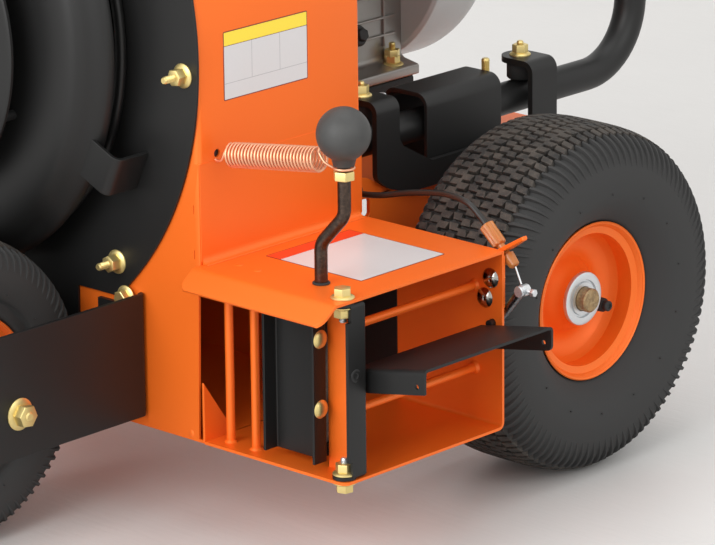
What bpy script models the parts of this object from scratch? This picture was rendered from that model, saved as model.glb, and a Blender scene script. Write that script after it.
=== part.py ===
"""Wheeled leaf blower: a walk-behind fan on two rear wheels and one front wheel.

Metres, +Z up. The front of the machine faces -Y and it blows to its left, which is +X.
Every shape is given in the machine's own frame: X is measured from the fan's axis, Y from
the rear axle and Z from the ground. The empty "machine" moves that frame so that the origin
is in the middle of the machine's footprint.
"""
import math

import bmesh
import bpy
from mathutils import Matrix, Vector

# Gaps and stock
GAP = 0.0003
SHEET = 0.003
PLATE = 0.005

# Middle of the footprint, measured from the fan's axis and the rear axle
CENTRE_X = 0.0460
CENTRE_Y = -0.05025

# Fan housing
FAN_Z = 0.495
HOUSING_FRONT = -0.422
HOUSING_BACK = -0.187
WALL_X = 0.338
SCROLL_GROWTH = 0.056
FLOOR_Z = FAN_Z - WALL_X - SCROLL_GROWTH
INLET_HOLE = 0.240
SCROLL_STEPS = 30

# Discharge box
BOX_X = 0.532
BOX_TOP = 0.289
VISOR_BEND_Y = -0.433
VISOR_TIP_Y = -0.4556
VISOR_TIP_Z = 0.2727
VISOR_CORNER = 0.012
BAR_RADIUS = 0.0045
FRONT_BARS_X = (0.358, 0.3935)
FRONT_BAR_Y = -0.404
SIDE_BAR_X = 0.4945
SIDE_BARS_Z = (0.2462, 0.1595)
STRIP_X = (0.4834, 0.509)
STRIP_Y = (-0.394, -0.391)
POST_Y = (-0.4183, -0.389)
POST_FLANGE = 0.020
POST_BOLT = (0.5190, -0.4092)
BOLT_HOLE = 0.0055
TONGUE = 0.012
TONGUE_SHEET = 0.004

# Cable tab behind the box's rear wall
DOUBLER_X = (0.500, 0.532)
DOUBLER_Z = (0.228, 0.284)
TAB_PATH = ((0.512, 0.2773), (0.5575, 0.3043))
TAB_Y = (HOUSING_BACK + GAP, -0.166)
TAB_SHEET = 0.0045

# Split flap and its lever
FLAP_AXIS = (0.4706, -0.388)
FLAP_X = (0.417, 0.487)
FLAP_Y = (-0.418, -0.3980)
FLAP_Z = (0.1120, 0.2600)
LEVER_RADIUS = 0.0066
LEVER_TOP = (0.499, -0.384)
LEVER_BENDS = (0.330, 0.362)
KNOB_Z = 0.4449
KNOB_RADIUS = 0.031

# Return spring
SPRING_HOOK = (WALL_X, -0.396, 0.3990)
SPRING_COILS = 27
SPRING_POINTS = 8
SPRING_WIRE = 0.0027
SPRING_RADIUS = 0.0118
SPRING_LOOP_Z = 0.4112

# Trajectory deflector
DEFLECTOR_AXIS = (0.5190, 0.2115)
DEFLECTOR_Y = (-0.3850, -0.1945)
DEFLECTOR_DEPTH = 0.025
DEFLECTOR_TIP_X = 0.6035
DEFLECTOR_TILT = math.radians(10.4)
PIN_RADIUS = 0.004
ARM_Y = (-0.1835, -0.1800)

# Control cable
FERRULE_TOP = Vector((0.4988, -0.1765, 0.3075))
FERRULE_END = Vector((0.5375, -0.1765, 0.2720))
FERRULE_RADIUS = 0.0079
FERRULE_NECK = 0.0042
SWIVEL = Vector((0.5485, -0.1765, 0.2485))
CABLE_RADIUS = 0.0032
CABLE_POINTS = ((0.4740, -0.1770, 0.3260), (0.4400, -0.1740, 0.3280), (0.3900, -0.1690, 0.3190),
                (0.3350, -0.1690, 0.3060), (0.2700, -0.1650, 0.3030), (0.2150, -0.1350, 0.3030),
                (0.1850, -0.0700, 0.3030), (0.1780, 0.0300, 0.3030), (0.1900, 0.1250, 0.3050),
                (0.2197, 0.1700, 0.3150), (0.2450, 0.2100, 0.3270), (0.2640, 0.2480, 0.3370),
                (0.2680, 0.2840, 0.3490), (0.2680, 0.3120, 0.3770), (0.2680, 0.3215, 0.4147),
                (0.2680, 0.3400, 0.6000), (0.2610, 0.3480, 0.6900), (0.2350, 0.3470, 0.7500),
                (0.2000, 0.3410, 0.7920))

# Intake
INLET_PLATE_RADIUS = 0.342
RING_RADIUS = 0.2454
RING_BORE = 0.228
SHIELD_RADIUS = 0.2575
SHIELD_Y = -0.458
DISC_RADIUS = 0.180
DISC_Y = -0.524
TAB_ANGLES = tuple(math.radians(angle) for angle in (-25, 65, 155, 245))

# Fan
IMPELLER_RADIUS = 0.285
BLADES = 6
SHAFT_RADIUS = 0.0127

# Rear wheels
WHEEL_RADIUS = 0.184
WHEEL_X = 0.4385
WHEEL_WIDTH = 0.146
RIM_RADIUS = 0.0844
RIM_HALF = 0.0531
HUB_HALF = 0.0405
AXLE_RADIUS = 0.0127
AXLE_END = 0.4896

# Front wheel
FRONT_RADIUS = 0.1610
FRONT_X = 0.126
FRONT_Y = -0.600
FRONT_WIDTH = 0.128
FRONT_RIM_HALF = 0.057
FORK_HALF = 0.134
FORK_LOW = 0.1150
FORK_TOP = {"right": 0.2440, "left": 0.2220}
FORK_FLANGE_TOP = 0.2280
FORK_TIP_Y = -0.668
FORK_NOTCHES = ((FRONT_X - FORK_HALF - 0.010, FRONT_X - FORK_HALF + 0.086, 0.226), (0.1630, 0.3500, 0.234))

# Deck and handle mounts
DECK_Z = 0.297
DECK_HALF = 0.3115
DECK_REAR = 0.200
DECK_TAPER = ((0.070, 0.3115), (0.110, 0.235))
TUBE_X = 0.285
TUBE_Z = 0.3475
TUBE_RADIUS = 0.0174
COVER_X = (0.249, 0.311)
COVER_Y = (-0.057, 0.060)
COVER_TOP = 0.386
COVER_SHEET = 0.005
BRACKET_X = 0.320
BRACKET_SHEET = 0.0065
BRACKET_UPRIGHTS = ((-0.149, -0.115, 0.3955), (0.100, 0.140, 0.391))
BRACKET_LOW = 0.290

# Handle
HANDLE_BEND_Y = 0.2962
HANDLE_BEND_RADIUS = 0.075
HANDLE_LEAN = math.radians(84)
HANDLE_SHOULDER_Z = 0.965
HANDLE_TOP_Z = 1.020
HANDLE_REAR = 0.640
GRIP_RADIUS = 0.0205
GRIP_HALF = 0.190
CONTROL_Z = (0.800, 0.930)
CONTROL_SHEET = 0.004
LEVER_Z = 0.870
LEVER_SLOT = (0.835, 0.905)
SWITCH_Z = 0.868
THROTTLE_X = 0.090
TRAJECTORY_X = 0.190
SWITCH_X = -0.120

# Engine
ENGINE_BASE = 0.340
CASE_X = (-0.098, 0.098)
CASE_Y = (-0.130, 0.135)
CASE_TOP = 0.610
SHROUD_RADIUS = 0.164
SHROUD_Y = (0.1353, 0.232)
CYLINDER_TILT = math.radians(25)

AXES = {"x": (1, 2, 0), "y": (0, 2, 1), "z": (0, 1, 2)}


def place(u, v, along, axis):
    """Puts a flat point (u, v) and a distance along an axis into (x, y, z)."""
    point = [0.0, 0.0, 0.0]
    first, second, third = AXES[axis]
    point[first] = u
    point[second] = v
    point[third] = along
    return Vector(point)


def arc(centre, radius, start, end, steps):
    """Points on a flat arc, with the angles in degrees."""
    points = []
    for step in range(steps + 1):
        angle = math.radians(start + (end - start) * step / steps)
        points.append((centre[0] + radius * math.cos(angle), centre[1] + radius * math.sin(angle)))
    return points


def closed(mesh):
    """Points every face outwards and joins the corners that coincide."""
    bmesh.ops.remove_doubles(mesh, verts=mesh.verts, dist=1e-6)
    bmesh.ops.recalc_face_normals(mesh, faces=mesh.faces)
    return mesh


def block(low, high):
    """A box between two corners."""
    mesh = bmesh.new()
    size = Vector(high) - Vector(low)
    middle = (Vector(high) + Vector(low)) / 2
    bmesh.ops.create_cube(mesh, size=1.0, matrix=Matrix.Translation(middle) @ Matrix.Diagonal((*size, 1)))
    return mesh


def prism(outline, axis, start, end):
    """A flat outline extruded along an axis."""
    mesh = bmesh.new()
    near = [mesh.verts.new(place(u, v, start, axis)) for u, v in outline]
    far = [mesh.verts.new(place(u, v, end, axis)) for u, v in outline]
    mesh.faces.new(near)
    mesh.faces.new(list(reversed(far)))
    for index in range(len(outline)):
        after = (index + 1) % len(outline)
        mesh.faces.new((near[after], near[index], far[index], far[after]))
    return closed(mesh)


def bent_sheet(path, thickness, axis, start, end):
    """A sheet that follows a flat path, with its thickness on the path's left side."""
    sides = []
    for index, point in enumerate(path):
        before = Vector(path[max(index - 1, 0)])
        here = Vector(point)
        after = Vector(path[min(index + 1, len(path) - 1)])
        into = (here - before).normalized() if index else (after - here).normalized()
        out = (after - here).normalized() if index < len(path) - 1 else into
        normal_in = Vector((-into.y, into.x))
        normal_out = Vector((-out.y, out.x))
        mitre = (normal_in + normal_out).normalized()
        sides.append((here, here + mitre * thickness / mitre.dot(normal_in)))
    mesh = bmesh.new()
    rows = []
    for outer, inner in sides:
        corners = ((outer, start), (inner, start), (inner, end), (outer, end))
        rows.append([mesh.verts.new(place(*corner, along, axis)) for corner, along in corners])
    for row, following in zip(rows, rows[1:]):
        for side in range(4):
            after = (side + 1) % 4
            mesh.faces.new((row[side], row[after], following[after], following[side]))
    mesh.faces.new(rows[0])
    mesh.faces.new(rows[-1])
    return closed(mesh)


def turned(profile, axis="y", centre=(0.0, 0.0, 0.0), steps=32, turn=0.0):
    """A profile of (radius, distance along the axis) points turned round an axis."""
    mesh = bmesh.new()
    rings = []
    for radius, along in profile:
        if radius == 0:
            rings.append([mesh.verts.new(place(0, 0, along, axis))] * steps)
            continue
        ring = []
        for step in range(steps):
            angle = turn + 2 * math.pi * step / steps
            ring.append(mesh.verts.new(place(radius * math.cos(angle), radius * math.sin(angle), along, axis)))
        rings.append(ring)
    solid = profile[0][0] == 0 and profile[-1][0] == 0
    pairs = list(zip(rings, rings[1:]))
    if not solid:
        pairs.append((rings[-1], rings[0]))
    for ring, following in pairs:
        for step in range(steps):
            after = (step + 1) % steps
            corners = []
            for vertex in (ring[step], ring[after], following[after], following[step]):
                if vertex not in corners:
                    corners.append(vertex)
            mesh.faces.new(corners)
    bmesh.ops.translate(mesh, verts=mesh.verts, vec=centre)
    return closed(mesh)


def rod(radius, start, end, axis, centre, steps=12, turn=0.11):
    """A plain round bar along an axis, through a centre given as a full point."""
    return turned([(0, start), (radius, start), (radius, end), (0, end)], axis, centre, steps, turn)


def hexagon(radius, start, end, axis, centre):
    """A hexagon head or nut."""
    return rod(radius, start, end, axis, centre, steps=6, turn=0.26)


def swept(points, radius, sides):
    """A round bar of even thickness along a route."""
    points = [Vector(point) for point in points]
    tangents = []
    for index in range(len(points)):
        before = points[max(index - 1, 0)]
        after = points[min(index + 1, len(points) - 1)]
        tangents.append((after - before).normalized())
    helper = Vector((0, 0, 1)) if abs(tangents[0].z) < 0.9 else Vector((1, 0, 0))
    normal = tangents[0].cross(helper).normalized()
    mesh = bmesh.new()
    rings = []
    for point, tangent in zip(points, tangents):
        normal = (normal - tangent * normal.dot(tangent)).normalized()
        other = tangent.cross(normal)
        ring = []
        for side in range(sides):
            angle = 2 * math.pi * side / sides
            ring.append(mesh.verts.new(point + radius * (math.cos(angle) * normal + math.sin(angle) * other)))
        rings.append(ring)
    for ring, following in zip(rings, rings[1:]):
        for side in range(sides):
            after = (side + 1) % sides
            mesh.faces.new((ring[side], ring[after], following[after], following[side]))
    mesh.faces.new(rings[0])
    mesh.faces.new(rings[-1])
    return closed(mesh)


def rounded(corners, radius, steps):
    """A route through straight runs, with each corner rounded to an arc."""
    corners = [Vector(corner) for corner in corners]
    route = [corners[0]]
    for before, here, after in zip(corners, corners[1:], corners[2:]):
        into = (here - before).normalized()
        out = (after - here).normalized()
        bend = into.angle(out)
        start = here - into * radius * math.tan(bend / 2)
        inward = (out - into * into.dot(out)).normalized()
        centre = start + inward * radius
        for step in range(steps + 1):
            angle = bend * step / steps
            route.append(centre - inward * radius * math.cos(angle) + into * radius * math.sin(angle))
    route.append(corners[-1])
    return route


def smooth_route(points, per_span):
    """A smooth curve through hand-picked points."""
    points = [Vector(point) for point in points]
    padded = [2 * points[0] - points[1]] + points + [2 * points[-1] - points[-2]]
    route = []
    for index in range(1, len(padded) - 2):
        a, b, c, d = padded[index - 1:index + 3]
        for step in range(per_span):
            t = step / per_span
            route.append(0.5 * (2 * b + (c - a) * t + (2 * a - 5 * b + 4 * c - d) * t ** 2
                                + (3 * b - a - 3 * c + d) * t ** 3))
    route.append(points[-1])
    return route


def ferrule_way():
    """The direction in which the control cable's ferrule points."""
    return (FERRULE_END - FERRULE_TOP).normalized()


def aimed(mesh, at, way):
    """Turns a shape made along +Z to point another way, and moves its origin to a point."""
    spin = Vector((0, 0, 1)).rotation_difference(way).to_matrix().to_4x4()
    bmesh.ops.transform(mesh, matrix=Matrix.Translation(at) @ spin, verts=mesh.verts)
    return mesh


def material(name, colour, roughness, metallic=0.0):
    """A plain surface of one colour."""
    surface = bpy.data.materials.new(name)
    surface.use_nodes = True
    shader = surface.node_tree.nodes["Principled BSDF"]
    shader.inputs["Base Color"].default_value = (*colour, 1)
    shader.inputs["Roughness"].default_value = roughness
    shader.inputs["Metallic"].default_value = metallic
    surface.diffuse_color = (*colour, 1)
    return surface


class Builder:
    """Makes the named pieces under the machine's empty."""

    def __init__(self):
        self.machine = bpy.data.objects.new("machine", None)
        self.machine.location = (-CENTRE_X, -CENTRE_Y, 0)
        bpy.context.scene.collection.objects.link(self.machine)
        self.tools = 0
        self.orange = material("orange_powder_coat", (0.90, 0.16, 0.01), 0.35)
        self.black = material("black_powder_coat", (0.012, 0.012, 0.013), 0.5)
        self.rubber = material("tyre_rubber", (0.03, 0.03, 0.03), 0.8)
        self.plastic = material("black_plastic", (0.02, 0.02, 0.02), 0.45)
        self.gold = material("yellow_zinc", (0.75, 0.6, 0.25), 0.3, 1.0)
        self.zinc = material("bright_zinc", (0.7, 0.72, 0.74), 0.25, 1.0)
        self.copper = material("copper_spring_wire", (0.85, 0.45, 0.28), 0.3, 1.0)
        self.casting = material("cast_aluminium", (0.35, 0.33, 0.31), 0.55, 0.6)
        self.shroud = material("grey_shroud", (0.45, 0.47, 0.47), 0.4)
        self.amber = material("amber_plastic", (0.45, 0.16, 0.04), 0.35)

    def piece(self, name, mesh, surface, origin=(0.0, 0.0, 0.0), smooth=30):
        """One named piece, with its origin where its joint's axis passes."""
        bmesh.ops.translate(mesh, verts=mesh.verts, vec=-Vector(origin))
        data = bpy.data.meshes.new(name)
        mesh.to_mesh(data)
        mesh.free()
        data.shade_smooth()
        data.set_sharp_from_angle(angle=math.radians(smooth))
        data.materials.append(surface)
        item = bpy.data.objects.new(name, data)
        item.location = origin
        item.parent = self.machine
        bpy.context.scene.collection.objects.link(item)
        return item

    def change(self, item, mesh, operation):
        """Welds a shape to a piece, or cuts it away."""
        self.tools += 1
        tool = self.piece(f"tool_{self.tools}", mesh, self.black)
        tool.hide_render = True
        tool.display_type = "WIRE"
        step = item.modifiers.new(tool.name, "BOOLEAN")
        step.operation = operation
        step.object = tool

    def weld(self, item, *meshes):
        """Welds shapes to a piece."""
        for mesh in meshes:
            self.change(item, mesh, "UNION")

    def cut(self, item, *meshes):
        """Cuts shapes out of a piece."""
        for mesh in meshes:
            self.change(item, mesh, "DIFFERENCE")


def scroll_path():
    """The housing's outer line: up the side wall and round the widening scroll to the floor."""
    path = [(WALL_X, BOX_TOP + SHEET)]
    for step in range(SCROLL_STEPS + 1):
        angle = 1.5 * math.pi * step / SCROLL_STEPS
        radius = WALL_X + SCROLL_GROWTH * step / SCROLL_STEPS
        path.append((radius * math.cos(angle), FAN_Z + radius * math.sin(angle)))
    path.append((WALL_X - GAP, FLOOR_Z))
    return path


def housing(build):
    """The scroll housing: the wrapped sheet and its front and back plates."""
    path = scroll_path()
    wrap = bent_sheet(path, SHEET, "y", HOUSING_FRONT + SHEET + GAP, HOUSING_BACK - SHEET - GAP)
    shell = build.piece("scroll_wrap", wrap, build.orange)
    x, y, z = SPRING_HOOK
    build.cut(shell, block((x - 0.010, y - 0.005, z - 0.006), (x + 0.010, y + 0.005, z + 0.006)))
    outline = [(WALL_X, FLOOR_Z)] + path[:-1]
    front = build.piece("front_plate", prism(outline, "y", HOUSING_FRONT, HOUSING_FRONT + SHEET), build.orange)
    hole = rod(INLET_HOLE, HOUSING_FRONT - SHEET, HOUSING_FRONT + 2 * SHEET, "y", (0, 0, FAN_Z), 48)
    build.cut(front, hole)
    back = build.piece("back_plate", prism(outline, "y", HOUSING_BACK - SHEET, HOUSING_BACK), build.orange)
    build.cut(back, rod(0.040, HOUSING_BACK - 2 * SHEET, HOUSING_BACK + SHEET, "y", (0, 0, FAN_Z), 24))


def discharge_box(build):
    """The open box at the outlet: floor and rear wall in one bent sheet, with its guard bars."""
    under_top = BOX_TOP - SHEET - GAP
    path = [(HOUSING_BACK, BOX_TOP), (HOUSING_BACK, FLOOR_Z), (HOUSING_FRONT, FLOOR_Z)]
    sheet = bent_sheet(list(reversed(path)), SHEET, "x", WALL_X + GAP, BOX_X)
    box = build.piece("discharge_box", sheet, build.orange)
    floor = FLOOR_Z + SHEET / 2
    build.weld(box, block((STRIP_X[0], STRIP_Y[0], floor), (STRIP_X[1], STRIP_Y[1], under_top)))
    for x in FRONT_BARS_X:
        build.weld(box, rod(BAR_RADIUS, floor, under_top, "z", (x, FRONT_BAR_Y, 0), 10))
    for z in SIDE_BARS_Z:
        bar = rod(BAR_RADIUS, STRIP_Y[1] - SHEET / 2, HOUSING_BACK - SHEET / 2, "y", (SIDE_BAR_X, 0, z), 10)
        build.weld(box, bar)
    build.weld(box, block((DOUBLER_X[0], HOUSING_BACK - SHEET / 2, DOUBLER_Z[0]),
                          (DOUBLER_X[1], HOUSING_BACK + SHEET, DOUBLER_Z[1])))
    build.weld(box, bent_sheet(TAB_PATH, TAB_SHEET, "y", *TAB_Y))
    build.cut(box, aimed(rod(FERRULE_NECK + 0.0008, 0.0, 0.070, "z", (0, 0, 0)), FERRULE_TOP, ferrule_way()))
    build.cut(box, rod(BOLT_HOLE, FLOOR_Z - 0.01, FLOOR_Z + 0.01, "z", (*POST_BOLT, 0)))
    axis = (DEFLECTOR_AXIS[0], 0, DEFLECTOR_AXIS[1])
    build.cut(box, rod(PIN_RADIUS + 0.0005, HOUSING_BACK - 0.01, HOUSING_BACK + 0.01, "y", axis, 10))

    rounded_corner = arc((BOX_X - VISOR_CORNER, VISOR_TIP_Y + VISOR_CORNER), VISOR_CORNER, 0, -90, 3)
    top = bent_sheet([(HOUSING_BACK - SHEET - GAP, BOX_TOP), (VISOR_BEND_Y, BOX_TOP), (VISOR_TIP_Y, VISOR_TIP_Z)],
                     SHEET, "x", WALL_X + GAP, BOX_X)
    plate = build.piece("top_plate", top, build.orange)
    corner = rounded_corner + [(BOX_X + 0.01, VISOR_TIP_Y - 0.01), (BOX_X + 0.01, VISOR_TIP_Y + VISOR_CORNER)]
    build.cut(plate, prism(corner, "z", BOX_TOP - 0.04, BOX_TOP + 0.01))
    build.cut(plate, rod(LEVER_RADIUS + 0.0008, BOX_TOP - 0.01, BOX_TOP + 0.01, "z", (*FLAP_AXIS, 0), 10))
    build.cut(plate, rod(BOLT_HOLE, BOX_TOP - 0.01, BOX_TOP + 0.01, "z", (*POST_BOLT, 0), 12))


def corner_post(build):
    """The black channel at the box's front corner, clamped by a bolt at each end."""
    top = BOX_TOP - SHEET - 2 * GAP
    low = FLOOR_Z + SHEET + GAP
    web = bent_sheet([(BOX_X, POST_Y[0]), (BOX_X, POST_Y[1]), (BOX_X - POST_FLANGE, POST_Y[1])],
                     SHEET, "z", low, top)
    post = build.piece("corner_post", web, build.black)
    tongue = [(BOX_X - SHEET / 2, POST_BOLT[1] + TONGUE), *arc(POST_BOLT, TONGUE, 90, 270, 8),
              (BOX_X - SHEET / 2, POST_BOLT[1] - TONGUE)]
    for z in (low, top - TONGUE_SHEET):
        build.weld(post, prism(tongue, "z", z, z + TONGUE_SHEET))
        build.cut(post, rod(BOLT_HOLE, z - 0.01, z + 0.01 + TONGUE_SHEET, "z", (*POST_BOLT, 0), 12))
    build.cut(post, rod(PIN_RADIUS + 0.0005, POST_Y[1] - 0.010, POST_Y[1] + 0.010, "y",
                        (DEFLECTOR_AXIS[0], 0, DEFLECTOR_AXIS[1]), 12))
    for name, outside, inside, way in (("post_bolt_upper", BOX_TOP, top - TONGUE_SHEET, 1),
                                       ("post_bolt_lower", FLOOR_Z, low + TONGUE_SHEET, -1)):
        head = outside + way * GAP
        nut = inside - way * GAP
        centre = (*POST_BOLT, 0)
        bolt = build.piece(name, hexagon(0.0085, head, head + way * 0.007, "z", centre), build.gold)
        build.weld(bolt, rod(0.0115, *sorted((head, head + way * 0.002)), "z", centre, 12))
        build.weld(bolt, rod(0.0048, nut - way * 0.0165, head + way * 0.004, "z", centre, 12))
        build.weld(bolt, hexagon(0.0080, nut - way * 0.0095, nut, "z", centre))


def split_flap(build):
    """The channel that splits the air between the two mouths, its bent lever and the ball knob."""
    origin = (*FLAP_AXIS, BOX_TOP)
    path = [(FLAP_X[0], FLAP_Y[0]), (FLAP_X[0], FLAP_Y[1]), (FLAP_X[1], FLAP_Y[1]), (FLAP_X[1], FLAP_Y[0])]
    flap = build.piece("split_flap", bent_sheet(list(reversed(path)), SHEET, "z", *FLAP_Z), build.black, origin)
    for z in (FLAP_Z[0] + 0.002, FLAP_Z[1] - 0.014):
        lug = rod(0.0115, z, z + 0.012, "z", (*FLAP_AXIS, 0), 10)
        build.weld(flap, lug)
    build.cut(flap, rod(LEVER_RADIUS + 0.0010, FLAP_Z[0] - 0.01, FLAP_Z[1] + 0.01, "z", (*FLAP_AXIS, 0), 10))

    route = [(*FLAP_AXIS, FLAP_Z[0] + 0.004), (*FLAP_AXIS, LEVER_BENDS[0]), (*LEVER_TOP, LEVER_BENDS[1]),
             (*LEVER_TOP, 0.4180)]
    lever = build.piece("flap_lever", swept(rounded(route, 0.018, 4), LEVER_RADIUS, 10), build.black, origin)
    build.weld(lever, hexagon(0.0112, 0.3990, 0.4085, "z", (*LEVER_TOP, 0)))
    ball = []
    for step in range(9):
        angle = math.pi * step / 8
        ball.append((KNOB_RADIUS * math.sin(angle), -KNOB_RADIUS * math.cos(angle)))
    ball[0] = (0, -KNOB_RADIUS)
    ball[-1] = (0, KNOB_RADIUS)
    knob = build.piece("ball_knob", turned(ball, "z", (*LEVER_TOP, KNOB_Z), 14), build.plastic, origin)
    build.weld(knob, rod(0.0110, KNOB_Z - KNOB_RADIUS - 0.0008, KNOB_Z - 0.020, "z", (*LEVER_TOP, 0), 10))
    build.cut(knob, rod(LEVER_RADIUS + 0.0010, 0.400, 0.4183, "z", (*LEVER_TOP, 0), 10))


def spring_route():
    """The spring's wire: a hook in the wall, the close coils and a loop round the lever's stud."""
    start = Vector((SPRING_HOOK[0] + 0.0210, SPRING_HOOK[1], SPRING_HOOK[2] + 0.0020))
    end = Vector((LEVER_TOP[0] - 0.0310, LEVER_TOP[1], SPRING_LOOP_Z + 0.0025))
    along = (end - start).normalized()
    side = along.cross(Vector((0, 0, 1))).normalized()
    up = side.cross(along)
    turns = SPRING_COILS * SPRING_POINTS
    coils = []
    for step in range(turns + 1):
        angle = 2 * math.pi * step / SPRING_POINTS
        middle = start.lerp(end, step / turns)
        coils.append(middle + SPRING_RADIUS * (math.cos(angle) * up + math.sin(angle) * side))
    hook = [start - along * 0.0240, start - along * 0.0170 - up * 0.0040, start - along * 0.0090 + up * 0.0020,
            start - along * 0.0035 + up * 0.0095 - side * 0.0060]
    level = Vector((along.x, along.y, 0)).normalized()
    stud = Vector((*LEVER_TOP, SPRING_LOOP_Z))
    loop = [end + along * 0.0032 + up * 0.0090 + side * 0.0060, end + along * 0.0110 + side * 0.0080 - up * 0.0005]
    for step in range(9):
        angle = math.radians(40 + 280 * step / 8)
        loop.append(stud + 0.0100 * (math.cos(angle) * -level + math.sin(angle) * side))
    return hook, coils, loop


def return_spring(build):
    """The spring that holds the flap's lever over to one side or the other."""
    hook, coils, loop = spring_route()
    route = hook + coils + loop
    spring = swept(route, SPRING_WIRE / 2, 6)
    build.piece("return_spring", spring, build.copper, smooth=60)
    least = min((a - b).length for index, a in enumerate(coils) for b in coils[index + SPRING_POINTS - 2:])
    print(f"Return spring: least gap between its turns {(least - SPRING_WIRE) * 1000:.2f} mm")


def trajectory_deflector(build):
    """The plate that aims the side stream up or down, with its arm, swivel and wire."""
    x, z = DEFLECTOR_AXIS
    origin = (x, (DEFLECTOR_Y[0] + DEFLECTOR_Y[1]) / 2, z)
    front, back = DEFLECTOR_Y
    across = [(back, z - DEFLECTOR_DEPTH), (back, z), (front, z), (front, z - DEFLECTOR_DEPTH)]
    channel = bent_sheet(across, SHEET, "x", x - 0.007, DEFLECTOR_TIP_X + 0.01)
    turn = (Matrix.Translation((x, 0, z)) @ Matrix.Rotation(-DEFLECTOR_TILT, 4, "Y")
            @ Matrix.Translation((-x, 0, -z)))
    bmesh.ops.transform(channel, matrix=turn, verts=channel.verts)
    deflector = build.piece("trajectory_deflector", channel, build.black, origin)
    build.cut(deflector, block((DEFLECTOR_TIP_X, front - 0.01, z - 0.04),
                               (DEFLECTOR_TIP_X + 0.03, back + 0.01, z + 0.04)))
    build.weld(deflector, rod(PIN_RADIUS, POST_Y[1] - 0.0045, front + SHEET / 2, "y", (x, 0, z), 12))
    build.weld(deflector, rod(PIN_RADIUS, back - SHEET / 2, ARM_Y[1] + 0.0005, "y", (x, 0, z), 12))

    centre = Vector((x, 0, z))
    away = Vector((SWIVEL.x - x, 0, SWIVEL.z - z))
    heading = math.degrees(math.atan2(away.z, away.x))
    outline = arc((centre.x, centre.z), 0.0075, heading + 90, heading + 270, 8)
    outline += arc((SWIVEL.x, SWIVEL.z), 0.0050, heading - 90, heading + 90, 6)
    arm = build.piece("deflector_arm", prism(outline, "y", *ARM_Y), build.zinc, origin)
    build.cut(arm, rod(PIN_RADIUS + GAP, ARM_Y[0] - 0.01, ARM_Y[1] + 0.01, "y", (x, 0, z), 12))
    barrel = rod(0.0060, ARM_Y[1] + GAP, -0.1710, "y", (SWIVEL.x, 0, SWIVEL.z), 16)
    swivel = build.piece("cable_swivel", barrel, build.zinc, origin)
    build.weld(swivel, rod(0.0032, SWIVEL.x, SWIVEL.x + 0.016, "x", (0, SWIVEL.y, SWIVEL.z), 12))
    way = (FERRULE_END - SWIVEL).normalized()
    wire = swept([SWIVEL + way * 0.0066, FERRULE_END - way * 0.0008], 0.0010, 8)
    build.piece("deflector_wire", wire, build.zinc)


def control_cable(build):
    """The amber ferrule on the box and the sheathed cable that runs up to the handle."""
    along = ferrule_way()
    length = (FERRULE_END - FERRULE_TOP).length
    profile = [(0, 0), (FERRULE_RADIUS, 0), (FERRULE_RADIUS, 0.0260), (FERRULE_NECK, 0.0262), (FERRULE_NECK, 0.0384),
               (0.0068, 0.0390), (0.0058, length), (0, length)]
    build.piece("cable_ferrule", aimed(turned(profile, "z", (0, 0, 0), 12), FERRULE_TOP, along), build.amber)
    first = FERRULE_TOP - along * 0.0006
    route = [first] + smooth_route([first - along * 0.008, *CABLE_POINTS], 3)
    build.piece("control_cable", swept(route, CABLE_RADIUS, 6), build.plastic)


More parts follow.
